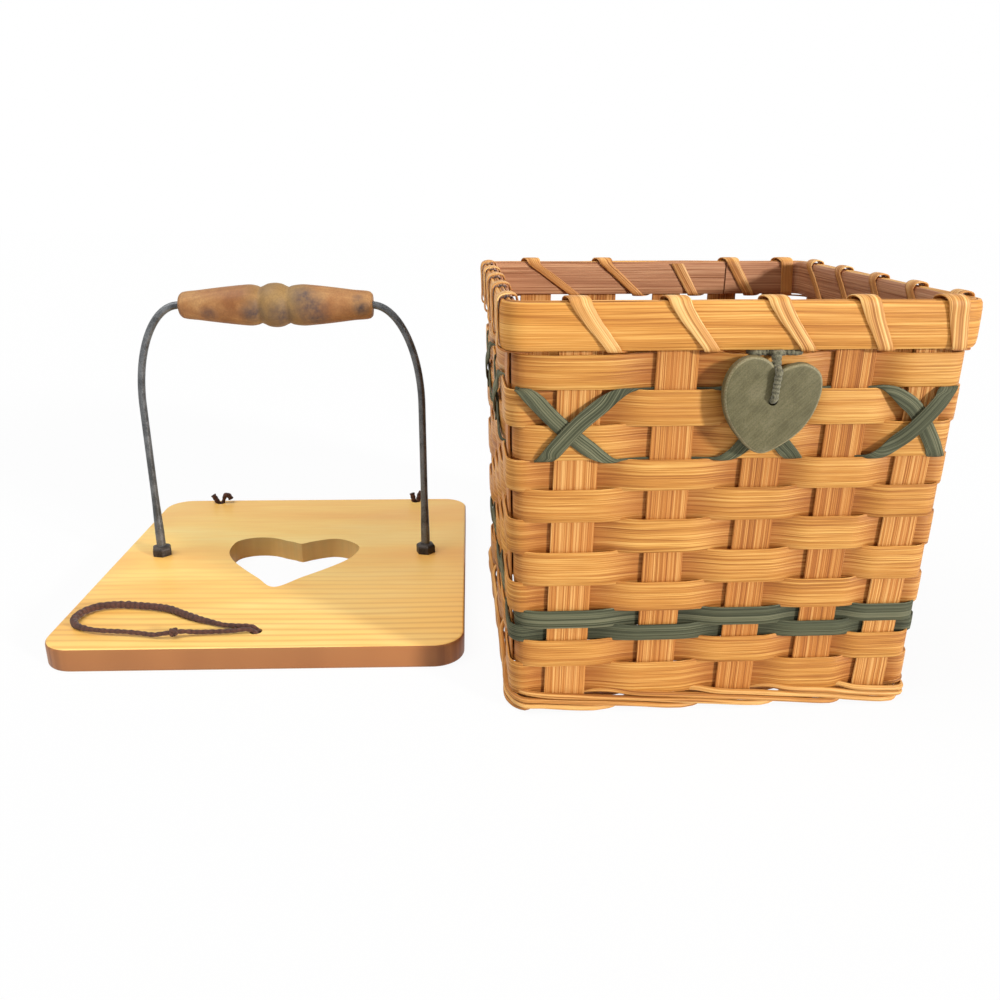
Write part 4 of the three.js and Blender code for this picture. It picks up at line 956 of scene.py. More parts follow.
def stake_strip(j, family):
    """The legs are counted round the wall, five to a side, from the left end of the front."""
    stake = STAKES[family][j]
    cross = family == "cross"
    legs = (j, 14 - j) if cross else (19 - j, 5 + j)
    profile = stake_profile(j, family, legs)
    across = Vector((1, 0, 0)) if cross else Vector((0, 1, 0))
    tone = rng.random()
    stations = []
    for i, (s, z) in enumerate(profile):
        before, after = profile[max(0, i - 1)], profile[min(len(profile) - 1, i + 1)]
        ds, dz = after[0] - before[0], after[1] - before[1]
        size = math.hypot(ds, dz)
        shift = stake_place(stake, z)
        width = stake["width"] + wander(i / 14, j + STAKE_WIDTH_LANES[family], 0.7)
        if cross:
            point, out = Vector((shift, s, z)), Vector((0, dz / size, -ds / size))
        else:
            point, out = Vector((s, shift, z)), Vector((dz / size, 0, -ds / size))
        stations.append({
            "point": point, "out": out, "side": across,
            "section": strip_section(STAKE_THICKNESS, width, STAKE_CROWN),
            "tone": tone + wander(i / 9, j + STAKE_TONE_LANES[family], 0.22),
        })
    label = "front_back" if cross else "left_right"
    piece = sweep(f"stake_{label}_{j + 1}_splint", stations)
    return finish_piece(piece, "stake", "basket", "stake", f"stake_{label}_{j + 1}")


for family, stakes in STAKES.items():
    for j in range(len(stakes)):
        stake_strip(j, family)
    print("stakes of the family", family, "widths in mm:", [stake["width"] for stake in stakes])

# %% [markdown]
# At the foot, four round reeds are twined round the stakes. Each passes in front of three stakes,
# then behind the next, so from outside they read as long slanting strands.

# %% Base twining
REED, REED_COUNT, TWINE_MIDDLE = 2.4, 4, 5.5
TWINE_OFFSET = STAKE_THICKNESS / 2 + SMALL_GAP + REED / 2
FLOOR_CLEARANCE, REED_STEP, REED_SIDES, REED_SMOOTHING = 0.05, 1.8, 10, 60
REED_SWELL, REED_WIDTH_LANE, REED_TONE_LANE = 1.04, 100, 110


def reed_height(passed):
    """A reed climbs to the top while it is behind one stake, and then sinks in front of three."""
    levels = 1 + passed * (REED_COUNT - 2) if passed < 1 else REED_COUNT - passed
    return FLOOR_CLEARANCE + REED / 2 + levels * (REED + SMALL_GAP)


def twined_reed(strand):
    legs, lap = legs_at(TWINE_MIDDLE), 4 * lap_length(TWINE_MIDDLE)
    pitch, rows = lap / len(legs), []

    def place(distance, offset, z):
        point, out = wall_at(distance, z)
        point = point + out * offset
        rows.append([*point, *out])

    for n, leg in enumerate(legs):
        passed = (n + strand) % REED_COUNT
        offset = -TWINE_OFFSET if passed == 0 else TWINE_OFFSET
        reach = leg["width"] / 2 + SMALL_GAP
        following = legs[(n + 1) % len(legs)]
        ahead = following["distance"] + (lap if following["distance"] < leg["distance"] else 0)
        half_way = (leg["distance"] + leg["width"] / 2 + ahead - following["width"] / 2) / 2
        changes = passed in (0, REED_COUNT - 1)
        place(leg["distance"] - reach, offset, reed_height(passed + 0.5 - reach / pitch))
        place(leg["distance"] + reach, offset, reed_height(passed + 0.5 + reach / pitch))
        place(half_way, 0 if changes else TWINE_OFFSET, reed_height(passed + 1))
    stations = []
    filled = smooth_run(rows, REED_STEP, closed=True)
    seam = round(SEAM_SHARE * len(filled))
    filled = filled[seam:] + filled[:seam]
    for i, row in enumerate(filled):
        point = Vector(row[:3])
        heading = (Vector(filled[(i + 1) % len(filled)][:3]) - Vector(filled[i - 1][:3])).normalized()
        out = Vector(row[3:])
        out = (out - heading * out.dot(heading)).normalized()
        thick = REED * (REED_SWELL + wander(i / 12, strand + REED_WIDTH_LANE, 0.12))
        point.z = max(point.z, thick / 2 + FLOOR_CLEARANCE)
        stations.append({
            "point": point, "out": out, "side": heading.cross(out),
            "section": round_section(thick, REED_SIDES),
            "tone": 0.2 + 0.2 * strand + wander(i / 20, strand + REED_TONE_LANE, 0.3),
        })
    return sweep(f"base_reed_{strand + 1}_round", stations, closed=True, smooth=REED_SMOOTHING)


for strand in range(REED_COUNT):
    finish_piece(twined_reed(strand), "reed", "basket", "reed", f"base_reed_{strand + 1}")
print("base reeds:", REED_COUNT, "of", REED, "mm")

# %% [markdown]
# Two narrow green strands lace the wall under the rim. Each runs unseen in the crack between two
# rows, comes out beside a stake, crosses it to the other crack and goes back in, so the pair makes a
# row of crosses. Some ends are drawn out thin along the crack, others go in at their full width.

# %% Lacing route
LACING_THICKNESS, LACING_WIDTH, LACING_CRACK_WIDTH = 0.8, 6.5, 0.9
LOWER_CRACK, UPPER_CRACK = 114.19, 142.21
LACING_BEHIND = -(STAKE_THICKNESS / 2 + SMALL_GAP + LACING_THICKNESS / 2)
LACING_OUT = WEAVER_OFFSET + WEAVER_THICKNESS / 2 + SMALL_GAP + LACING_THICKNESS / 2
LACING_OVER = LACING_OUT + LACING_THICKNESS + SMALL_GAP

# For the front's three crossings: shift along the wall, height, and for the strand that starts low and
# the one that starts high how far its two ends reach and whether each is drawn out thin or cut broad
LACING_SHAPES = {
    0: (-3.6, 0.41, (8.2, "broad", 20.5, "drawn"), (16.0, "broad", 16.0, "drawn")),
    2: (0.0, 0.5, (14.0, "drawn", 15.0, "drawn"), (15.0, "drawn", 12.5, "broad")),
    4: (1.6, 0.56, (17.0, "drawn", 7.8, "broad"), (15.5, "drawn", 7.0, "broad")),
}
PLAIN_SHAPE = (0.0, 0.5, (15.0, "drawn", 15.0, "drawn"), (15.0, "drawn", 15.0, "drawn"))
BESIDE_CROSSING, CROSSING_SHIFT = 4.4, 0.8

# Both kinds of end, from the crack inwards: how far past the reach, place out of the wall, height above
# the crack, how much of the climb is done, width and lean
LACING_ENDS = {
    "broad": [
        (4.5, LACING_BEHIND, 0, 0, LACING_CRACK_WIDTH, 0), (2.0, LACING_BEHIND, 0, 0, 3.5, 0.6),
        (0.4, 1.2, 0, 0, 6.2, 1), (-1.2, LACING_OUT, 0, 1.2, LACING_WIDTH, 0.9),
    ],
    "drawn": [
        (7.0, 0.5, 0, 0, LACING_CRACK_WIDTH, 0), (3.5, 1.7, 0.2, 0, 1.7, 0),
        (-1.5, LACING_OUT, 0, 1.9, 4.4, 0.2), (-6.5, LACING_OUT, 0, 6.3, 6.3, 0),
    ],
}


def lacing_end(reach, ending, climb):
    """Reach, place out of the wall, rise, width and lean, from the end inwards."""
    return [
        (reach + past, lift, rise + climbed * climb, width, lean)
        for past, lift, rise, climbed, width, lean in LACING_ENDS[ending]
    ]


def lacing_marks(strand):
    """Distance, place out of the wall, height, width and lean of one strand, crossing after crossing."""
    z = (UPPER_CRACK + LOWER_CRACK) / 2
    legs, lap = legs_at(z), 4 * lap_length(z)
    marks = []
    for n in range(1, len(legs), 2):
        leg, over = legs[n], legs[(n + 1) % len(legs)]
        over_at = over["distance"] + (lap if over["distance"] < leg["distance"] else 0)
        starts_low = ((n - 1) // 2 + strand) % 2 == 1
        start, end = (LOWER_CRACK, UPPER_CRACK) if starts_low else (UPPER_CRACK, LOWER_CRACK)
        top = LACING_OVER if starts_low else LACING_OUT
        shift, share, low, high = LACING_SHAPES.get((n + 1) % len(legs), PLAIN_SHAPE)
        reach_in, ending_in, reach_out, ending_out = low if starts_low else high
        middle = over_at - CROSSING_SHIFT + shift
        crossing = LOWER_CRACK + share * (UPPER_CRACK - LOWER_CRACK)
        climb_in, climb_out = (crossing - start) / reach_in, (end - crossing) / reach_out
        marks.append((leg["distance"], LACING_BEHIND, start, LACING_CRACK_WIDTH, 0))
        for reach, lift, rise, width, lean in lacing_end(reach_in, ending_in, climb_in):
            marks.append((middle - reach, lift, start + rise, width, lean))
        marks.append((middle - BESIDE_CROSSING, top, crossing - climb_in * BESIDE_CROSSING, LACING_WIDTH, 0))
        marks.append((middle + BESIDE_CROSSING, top, crossing + climb_out * BESIDE_CROSSING, LACING_WIDTH, 0))
        for reach, lift, rise, width, lean in lacing_end(reach_out, ending_out, climb_out)[::-1]:
            marks.append((middle + reach, lift, end - rise, width, lean))
    return marks, lap, z


print("height of the lacing's crosses, mm:", round(UPPER_CRACK - LOWER_CRACK, 1))

# %% [markdown]
# The route is smoothed as lengths along the wall, and only then laid on it. A section leans from
# square across the strand to level, so that the strand can go into a level crack at its full width.
# In the crack it is drawn out thin, and its colour is darkened there as painted shade.

# %% Green lacing
LACING_CROWN, LACING_EDGE, LACING_STEP, LACING_LANE = 0.06, 0.2, 0.8, 120
TWIST_FROM, TWIST_OVER, LEAST_COSINE = 1.2, 2.4, 0.85


def lacing_strand(strand):
    """Stations of one strand all the way round the basket."""
    marks, lap, z = lacing_marks(strand)
    looped = marks + [(marks[0][0] + lap, *marks[0][1:])]
    rows = [[distance, height, lift, width, lean] for distance, lift, height, width, lean in looped]
    places = smooth_run(rows, LACING_STEP)[:-1]
    points = []
    for distance, height, lift, width, lean in places:
        point, out = wall_at(distance % lap, z)
        point = point + out * (lift + wall_half(height) - wall_half(z))
        points.append(Vector((point.x, point.y, height)))
    tone, stations, face = 0.4 + 0.2 * strand, [], None
    for i, (distance, height, lift, width, lean) in enumerate(places):
        out = wall_at(distance % lap, z)[1]
        before, after = places[i - 1], places[(i + 1) % len(places)]
        slope = math.atan2(after[1] - before[1], (after[0] - before[0]) % lap)
        share = ease((width - TWIST_FROM) / TWIST_OVER)
        level = math.copysign(QUARTER, slope)
        angle = share * (slope + min(max(lean, 0.0), 1.0) * (level - slope))
        side = Matrix.Rotation(angle, 3, out) @ up_wall(out)
        heading = (points[(i + 1) % len(points)] - points[i - 1]).normalized()
        normal = heading.cross(side)
        face = out if face is None else face
        if normal.length > 0.2:
            face = normal.normalized() * (1 if normal.dot(face) > 0 else -1)
        wide = max(width, LACING_CRACK_WIDTH)
        if share > 0.5:
            wide /= max(math.cos(angle - slope), LEAST_COSINE)
        stations.append({
            "point": points[i], "out": face, "side": side,
            "section": strip_section(LACING_THICKNESS, wide, LACING_CROWN, LACING_EDGE),
            # Painted shade: the shade mark is low where the strand is drawn thin into a crack, and the green
            # finish darkens it there.
            "tone": tone + wander(distance / 15, strand + LACING_LANE, 0.35), "shade": 0.3 + 0.7 * share,
        })
    return stations


for strand, label in enumerate(("falling", "rising")):
    piece = sweep(f"lacing_{label}_splint", lacing_strand(strand), closed=True)
    finish_piece(piece, "green", "basket", "green_splint", f"lacing_strand_{label}")
    print("lacing strand", label, "points:", len(piece.data.vertices))

# %% [markdown]
# The rim holds the stakes' ends between two bands that are flat inside and bowed outside, with a
# round reed in the slot between them. The inner band's two ends meet on the back wall.

# %% Rim bands and filler reed
RIM_BOTTOM, RIM_TOP, RIM_SLOT = 157.3, 175.6, 2.9
RIM_MIDDLE = (RIM_BOTTOM + RIM_TOP) / 2
OUTER_BAND, INNER_BAND, FILLER, FILLER_SIDES = 2.0, 1.85, 2.3, 12
OUTER_HEIGHT, INNER_HEIGHT, HEIGHT_DRIFT, RIM_STEP = 17.9, 17.4, 0.5, 2.0
OUTER_LANE, INNER_LANE, FILLER_LANE = 130, 140, 150
SCARF_PAST_CORNER, SCARF_GAP = 39, 0.7
SCARF_AT = 2 * lap_length(RIM_MIDDLE) + SCARF_PAST_CORNER
HIDDEN_SEAM = SEAM_SHARE * 4 * lap_length(RIM_MIDDLE)


def band_section(thickness, height, way):
    """Flat towards the slot and bowed on the other face."""
    points = [(0, 0.5), (0.5, 0.5), (0.82, 0.44), (0.97, 0.32), (1.0, 0.12)]
    half = [(way * a * thickness, b * height) for a, b in points]
    return half + [(a, -b) for a, b in half[::-1]]


def rim_ring(offset, z, section_at, lane, start, open_gap=0.0):
    """Stations of one band or reed round the rim, open where its two ends leave a gap."""
    lap = 4 * lap_length(RIM_MIDDLE)
    count = round(lap / RIM_STEP)
    stations = []
    for i in range(count if open_gap == 0 else count + 1):
        distance = start + open_gap / 2 + (lap - open_gap) * i / count
        point, out = wall_at(distance % lap, RIM_MIDDLE)
        point = point + out * offset
        loop_place = min(i, count - i) / 25
        point.z = z + wander(loop_place, lane, 0.35)
        stations.append({
            "point": point, "out": out, "side": UP.copy(), "section": section_at(loop_place),
            "tone": PLAIN_TONE + wander(loop_place * 1.7, lane + 1, 0.5),
        })
    return stations


def outer_section(at):
    return band_section(OUTER_BAND, OUTER_HEIGHT + wander(at, OUTER_LANE + 1, HEIGHT_DRIFT), 1)


def inner_section(at):
    return band_section(INNER_BAND, INNER_HEIGHT + wander(at, INNER_LANE + 1, HEIGHT_DRIFT), -1)


def filler_section(at):
    return round_section(FILLER * (1 + wander(at * 3, FILLER_LANE + 1, 0.08)), FILLER_SIDES)


outer_stations = rim_ring(RIM_SLOT / 2, RIM_MIDDLE, outer_section, OUTER_LANE, HIDDEN_SEAM)
outer_band = sweep("rim_band_outer_bowed", outer_stations, closed=True)
inner_stations = rim_ring(-RIM_SLOT / 2, RIM_MIDDLE, inner_section, INNER_LANE, SCARF_AT, SCARF_GAP)
inner_band = sweep("rim_band_inner_bowed", inner_stations)
filler_stations = rim_ring(0.0, RIM_TOP - FILLER / 2, filler_section, FILLER_LANE, HIDDEN_SEAM)
filler_reed = sweep("rim_filler_round", filler_stations, closed=True, smooth=REED_SMOOTHING)
finish_piece(outer_band, "rim", "basket", "rim", "rim_band_outer")
finish_piece(inner_band, "inner_rim", "basket", "inner_rim", "rim_band_inner")
finish_piece(filler_reed, "reed", "basket", "reed", "rim_filler_reed")
print("rim, mm over its outer band:", [round(size / MM, 1) for size in outer_band.dimensions])

# %% [markdown]
# One flat splint is wound round the whole rim, with one turn at each stake. It lies flat over the
# top, slants down the outside, is pinched narrow where it goes through the crack under the rim, and
# climbs the inside to the next turn. It is one unbroken strip, so its turns are worked out in order.

# %% Lashing route
LASH_THICKNESS, LASH_WIDTH, LASH_BEND, LASH_CLEARANCE = 0.8, 6.9, 0.8, 0.2
LASH_ARCH, LASH_SHOULDER = 0.9, 1.8
LASH_ON_TOP, LASH_AT_FOOT, LASH_INSIDE, LASH_STEP_OVER = 8.2, 6.0, 6.8, 3.2
LASH_TOP_LEADS = [0.152, 0.152, 0.152, -0.212, -0.667]
LASH_BOTTOM_MARGINS = [0.03, 0.121, 0.121, -0.182, -0.333]
LASH_FIRST = 12
LASH_SLANT = ((0, 0), (0.33, 0.29), (0.66, 0.64), (1, 1))
LASH_CLIMB = 6.5
LASH_OUT = RIM_SLOT / 2 + OUTER_BAND + LASH_CLEARANCE + LASH_THICKNESS / 2
LASH_IN = -(RIM_SLOT / 2 + INNER_BAND + LASH_CLEARANCE + LASH_THICKNESS / 2)
LASH_HIGH = RIM_TOP + LASH_CLEARANCE + LASH_THICKNESS / 2
LASH_LOW = RIM_BOTTOM - 0.15


def lash_turn(n, legs, lap):
    """Distances round the wall where one turn starts down, ends down, starts up and ends up."""
    leg, following = legs[n % len(legs)], legs[(n + 1) % len(legs)]
    laps = lap * (n // len(legs))
    outer_top = leg["distance"] - LASH_TOP_LEADS[n % 5] * LASH_WIDTH
    outer_bottom = leg["distance"] + leg["width"] / 2 + (0.5 + LASH_BOTTOM_MARGINS[n % 5]) * LASH_WIDTH - 1
    turns_corner = following["side"] != leg["side"]
    corner = (leg["side"] + 1) * lap_length(RIM_MIDDLE) + 0.4 + LASH_AT_FOOT / 2
    inner_bottom = corner if turns_corner else outer_bottom + LASH_CLIMB
    inner_top = following["distance"] - LASH_TOP_LEADS[(n + 1) % 5] * LASH_WIDTH - LASH_STEP_OVER
    if following["distance"] < leg["distance"]:
        inner_top += lap
    return [place + laps for place in (outer_top, outer_bottom, inner_bottom, inner_top)]


def lash_rows():
    """Distance round the wall, height, place out of the slot, width and shade, turn after turn."""
    legs, lap = legs_at(RIM_MIDDLE), 4 * lap_length(RIM_MIDDLE)
    high, low = LASH_HIGH - LASH_SHOULDER, LASH_LOW + LASH_BEND
    rows = []
    for turn in range(LASH_FIRST, LASH_FIRST + len(legs)):
        outer_top, outer_bottom, inner_bottom, inner_top = lash_turn(turn, legs, lap)
        for share, curve in LASH_SLANT:
            width = LASH_ON_TOP + (LASH_AT_FOOT - LASH_ON_TOP) * share
            along = outer_top + curve * (outer_bottom - outer_top)
            rows.append([along, high + share * (low - high), LASH_OUT, width, 1])
        # Painted shade: the shade mark is low at the bottom bend and on the inside turns, where the lashing's
        # finish paints them darker and pinker.
        rows.append([outer_bottom + 0.5, LASH_LOW, LASH_OUT - LASH_BEND, LASH_AT_FOOT, 0.4])
        rows.append([inner_bottom - 0.5, LASH_LOW, LASH_IN + LASH_BEND, LASH_AT_FOOT, 0.3])
        for share, _ in LASH_SLANT:
            width = LASH_AT_FOOT + (LASH_INSIDE - LASH_AT_FOOT) * share
            along = inner_bottom + share * (inner_top - inner_bottom)
            rows.append([along, low + share * (high - low), LASH_IN, width, 0.3 + 0.2 * share])
        if turn < LASH_FIRST + len(legs) - 1:
            rows.append([inner_top + 0.6, LASH_HIGH, LASH_IN + LASH_BEND, LASH_ON_TOP - 0.6, 0.8])
            rows.append([inner_top + LASH_STEP_OVER / 2, LASH_HIGH + LASH_ARCH, 0, LASH_ON_TOP, 1])
            rows.append([inner_top + LASH_STEP_OVER - 0.6, LASH_HIGH, LASH_OUT - LASH_BEND, LASH_ON_TOP, 1])
    return rows, lap


print("lashing turns:", len(legs_at(RIM_MIDDLE)))

# %% [markdown]
# The rows of all turns are smoothed as one run and laid on the wall. No section ever turns out of the
# rim's own direction, which is how a flat splint folds over a rim without twisting.

# %% Rim lashing
LASH_STEP, LASH_WIDTH_LANE, LASH_TONE_LANE = 0.7, 160, 161


def lashing():
    """Every section lies level along the rim, so the strip folds flat over the rim's edges."""
    rows, lap = lash_rows()
    rows = smooth_run(rows, LASH_STEP)
    stations = []
    for i, (distance, height, lift, width, shade) in enumerate(rows):
        point, out = wall_at(distance % lap, RIM_MIDDLE)
        before, after = rows[max(0, i - 1)], rows[min(len(rows) - 1, i + 1)]
        face = (out * (before[1] - after[1]) + UP * (after[2] - before[2])).normalized()
        point = point + out * lift
        stations.append({
            "point": Vector((point.x, point.y, height)), "out": face, "side": UP.cross(out),
            "section": strip_section(LASH_THICKNESS, width + wander(i / 30, LASH_WIDTH_LANE, 0.4)),
            "tone": PLAIN_TONE + wander(i / 50, LASH_TONE_LANE, 0.6), "shade": min(max(shade, 0.0), 1.0),
        })
    return sweep("rim_lashing_splint", stations)


lash = finish_piece(lashing(), "lash", "basket", "rim", "rim_lashing")
print("rim with its lashing, mm:", [round(size / MM, 1) for size in lash.dimensions])

# %% [markdown]
# The heart, the board, the nuts and the grip are cut, drilled and turned from solid stuff, so they
# are modelled the same way: a plain shape, edit steps on picked edges, and holes cut last. These
# helpers hold the steps that come back.

# %% Modelling helpers
ALIKE, DRILL_SIDES, THROUGH = 1e-6, 32, 10


def set_mode(mode):
    bpy.ops.object.mode_set(mode=mode)


def pick_edges(piece, rule):
    """Selects the edges that a rule of their two ends accepts, and leaves edge mode on."""
    set_mode("EDIT")
    bpy.ops.mesh.select_mode(type="EDGE")
    bpy.ops.mesh.select_all(action="DESELECT")
    set_mode("OBJECT")
    corners = piece.data.vertices
    for edge in piece.data.edges:
        edge.select = rule(corners[edge.vertices[0]].co, corners[edge.vertices[1]].co)
    set_mode("EDIT")


def ease_edges(piece, rule, width, segments, profile=0.5):
    """Bevels the edges that a rule picks, by a width in metres."""
    pick_edges(piece, rule)
    bpy.ops.mesh.bevel(offset=width, segments=segments, profile=profile, affect="EDGES")
    set_mode("OBJECT")


def at_level(level):
    """A rule that picks the level edges at one height, in metres."""
    return lambda a, b: abs(a.z - level) < ALIKE and abs(b.z - level) < ALIKE


def is_upright(a, b):
    return abs(a.x - b.x) < ALIKE and abs(a.y - b.y) < ALIKE


def settle(piece):
    """Puts a piece's place into its mesh."""
    make_active(piece)
    bpy.ops.object.transform_apply(location=True, rotation=True, scale=True)


def cut(piece, cutter):
    """Cuts one closed shape out of a piece and removes the cutter."""
    make_active(piece)
    made = piece.modifiers.new("cut", "BOOLEAN")
    made.operation = "DIFFERENCE"
    made.solver = "EXACT"
    made.object = cutter
    bpy.ops.object.modifier_apply(modifier=made.name)
    bpy.data.objects.remove(cutter)


def drill(piece, x, y, diameter, bottom, top):
    """Drills one hole from a height to another, all in millimetres."""
    deselect()
    bpy.ops.mesh.primitive_cylinder_add(
        vertices=DRILL_SIDES, radius=diameter / 2 * MM, depth=(top - bottom) * MM,
        location=(x * MM, y * MM, (top + bottom) / 2 * MM))
    cut(piece, bpy.context.object)


# %% [markdown]
# A heart has no ready shape, so it is drawn: a disc with as many corners as the outline has points is
# pulled out to them and then extruded. Faces can be marked by where they lie or how they face, so
# that one material can treat worn edges or sawn walls in their own way.

# %% Drawn plates and marked faces


def mark_faces(piece, name, rule):
    """Marks faces from 0 to 1 by a rule of their middle and normal, for a material to read."""
    values = [rule(face.center, face.normal) for face in piece.data.polygons]
    piece.data.attributes.new(name, "FLOAT", "FACE").data.foreach_set("value", values)


def outline_plate(name, outline, thickness, height):
    """Plate with any outline, drawn from a disc and extruded up from a height, in metres."""
    deselect()
    bpy.ops.mesh.primitive_circle_add(vertices=len(outline), radius=1, fill_type="NGON")
    plate = bpy.context.object
    plate.name = name
    for vertex, (x, y) in zip(plate.data.vertices, outline):
        vertex.co = (x, y, height)
    make_active(plate)
    set_mode("EDIT")
    bpy.ops.mesh.select_all(action="SELECT")
    bpy.ops.mesh.extrude_region_move(TRANSFORM_OT_translate={"value": (0, 0, thickness)})
    bpy.ops.mesh.select_all(action="SELECT")
    bpy.ops.mesh.normals_make_consistent(inside=False)
    set_mode("OBJECT")
    return plate


def heart_outline(points, step):
    """Smooth closed outline through points, given in millimetres and returned in metres."""
    filled = smooth_run([[x, y, 0.0] for x, y in points], step, closed=True)
    return [(x * MM, y * MM) for x, y, z in filled]


# %% [markdown]
# The button is a heart sawn from thin board, with softly rounded edges, painted olive green. A disc
# is drawn out to the heart's outline, extruded to its thickness, and its edges are bevelled. The
# hole for the cord is cut last.

# %% Heart button
BUTTON_POINTS = [
    (8.0, 118.1), (11.2, 119.0), (14.8, 121.0), (19.2, 124.0), (23.2, 128.0), (26.6, 133.6), (28.5, 139.6),
    (28.9, 145.0), (27.8, 149.0), (24.8, 151.8), (20.9, 153.0), (17.0, 152.4), (13.7, 151.3), (11.3, 150.2),
    (8.6, 153.3), (5.3, 155.2), (1.4, 155.8), (-2.5, 154.6), (-6.1, 151.3), (-8.3, 146.3), (-8.7, 141.0),
    (-7.7, 134.9), (-5.1, 129.2), (-1.5, 124.4), (1.8, 120.9), (4.9, 118.8),
]
BUTTON_HOLE, HOLE_DIAMETER, BUTTON_STEP = (10.2, 138.9), 3.6, 1.2
FRONT_EASE, BACK_EASE, EASE_STEPS, EASE_PROFILE = 1.5, 0.6, 4, 0.6
button_low, button_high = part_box("heart_button")
button_back = button_high.y
button_thickness = button_high.y - button_low.y
outline = heart_outline(BUTTON_POINTS, BUTTON_STEP)
heart = outline_plate("heart_button_painted", outline, button_thickness, 0.0)
ease_edges(heart, at_level(button_thickness), FRONT_EASE * MM, EASE_STEPS, EASE_PROFILE)
ease_edges(heart, at_level(0.0), BACK_EASE * MM, EASE_STEPS, EASE_PROFILE)
drill(heart, *BUTTON_HOLE, HOLE_DIAMETER, -THROUGH, THROUGH)
mark_faces(heart, "eased", lambda middle, normal: 1.0 if 0.1 < abs(normal.z) < 0.995 else 0.0)
heart.rotation_euler = (QUARTER, 0, 0)
heart.location = (0, button_back, 0)
settle(heart)
smooth_edges(heart)
print("heart button, mm thick:", round(button_thickness / MM, 2), "back at y", round(button_back / MM, 2))

# %% [markdown]
# The heart's paint is a dull olive with a fine speckle. Its eased edges, marked face by face above, are
# rubbed paler, and a few faint scratches run slantwise over the face.

# %% Heart paint
PAINT_RELIEF, SCRATCH_SLANT, SCRATCH_STRETCH = 0.0001, 0.8, (120, 90, 1600)


def paint_finish():
    material, tree, shader = start_material("olive paint", 0.55, Specular_IOR_Level=0.3)
    place = add(tree, "ShaderNodeTexCoord").outputs["Object"]
    cloud = effect(tree, "blotch", {"Place": place, "Scale": 140.0, "Sharpness": 2.4})["Mask"]
    fine = effect(tree, "blotch", {"Place": place, "Scale": 1500.0, "Sharpness": 4.0})["Mask"]
    turned = add(tree, "ShaderNodeMapping", {"Vector": place, "Rotation": (0, SCRATCH_SLANT, 0)}).outputs[0]
    thinned = add(tree, "ShaderNodeMapping", {"Vector": turned, "Scale": SCRATCH_STRETCH}).outputs[0]
    scratch = effect(tree, "blotch", {"Place": thinned, "Scale": 1.0, "Sharpness": 9.0})["Mask"]
    base = ramp(tree, cloud, [(0.1, tint(90, 84, 56)), (0.55, tint(105, 98, 68)), (0.95, tint(116, 108, 80))])
    speckled = mix(tree, maths(tree, "MULTIPLY", fine, 0.5), base, tint(74, 70, 50))
    scratched = mix(tree, maths(tree, "MULTIPLY", scratch, 0.08), speckled, tint(160, 152, 118))
    eased = add(tree, "ShaderNodeAttribute", attribute_name="eased").outputs["Fac"]
    worn = maths(tree, "MULTIPLY", eased, fit(tree, fine, 0.2, 0.8, 0.25, 0.75))
    tree.links.new(mix(tree, worn, scratched, tint(150, 140, 108)), shader.inputs["Base Color"])
    tree.links.new(fit(tree, cloud, 0, 1, 0.48, 0.66), shader.inputs["Roughness"])
    bumps(tree, shader, fine, 0.25, PAINT_RELIEF)
    return material


FINISHES["olive"] = paint_finish()
finish_piece(heart, "olive", "heart", "heart_paint", "heart_button")
print("heart's finish:", heart.active_material.name)

# %% [markdown]
# A grey green cord lies in the crack under the rim, round the middle stake, and a second short one
# hangs the heart from it: over the notch, down the face and into the hole. Both are laid cord again,
# whose routes are worked out from the stake and the heart.

# %% Heart cords
ANCHOR_HEIGHT, CORD, CORD_SHOWN, CORD_GATHERED = 156.14, 1.6, 2.5, 3.8
ANCHOR_STEP, ANCHOR_PITCH, HEART_TIE_PITCH, HEART_TIE_STEP = 0.4, 4.5, 5.0, 0.35
GATHERED_FOR, THINS_WITHIN = 3.5, 3.5
anchor_u = stake_place(STAKES["cross"][2], ANCHOR_HEIGHT)
anchor_width = STAKES["cross"][2]["width"]
anchor_wall = wall_half(ANCHOR_HEIGHT)
anchor_front = anchor_wall + STAKE_THICKNESS / 2 + SMALL_GAP + CORD / 2
anchor_back = anchor_wall - STAKE_THICKNESS / 2 - SMALL_GAP - CORD / 2
anchor_nose = -button_back / MM - CORD / 2 + SMALL_GAP
anchor_reach = anchor_width / 2 + SMALL_GAP + CORD / 2

# Share of the reach to the right, which end it lies past, and how far it is from the basket's middle
ANCHOR_SHARES = [
    (-1, 0, anchor_front), (-0.3, 0, anchor_front), (-0.1, 0, anchor_nose), (0.1, 0, anchor_nose),
    (0.3, 0, anchor_front), (1, 0, anchor_front), (1, 1, (anchor_front + anchor_back) / 2),
    (1, 0, anchor_back), (-1, 0, anchor_back), (-1, -1, (anchor_front + anchor_back) / 2),
]
anchor_points = [
    [anchor_u + share * anchor_reach + end * CORD / 2, -depth, ANCHOR_HEIGHT + 0.1 * (k % 2)]
    for k, (share, end, depth) in enumerate(ANCHOR_SHARES)
]
anchor_path = [Vector(row) for row in smooth_run(anchor_points, ANCHOR_STEP, closed=True)]


def anchor_section(run):
    return round_section(CORD_SHOWN, CORD_SIDES, STRANDS, 2 * math.pi * run / ANCHOR_PITCH)


anchor_stations = tube_stations(anchor_path, anchor_section)
anchor_cord = sweep("button_anchor_twisted", anchor_stations, closed=True, smooth=CORD_SMOOTHING)
finish_piece(anchor_cord, "grey_cord", "basket", "grey_cord", "button_anchor_cord")
print("anchor cord length in mm:", round(path_length(anchor_path + anchor_path[:1]), 1))

button_face = button_low.y / MM
tie_face = button_face - 0.1 - CORD_SHOWN / 2
tie_middle = (button_back / MM + button_face) / 2
tie_points = [
    (10.8, -anchor_nose - CORD - SMALL_GAP, ANCHOR_HEIGHT - 0.2), (10.9, -anchor_nose - 1.5 * CORD, 154.0),
    (10.9, tie_middle, 152.0), (10.8, tie_face - 0.1, 150.4), (10.6, tie_face, 147.0),
    (10.3, tie_face, 142.5), (10.2, tie_face, 140.8), (10.2, button_face, 139.2), (10.2, tie_middle, 138.9),
]


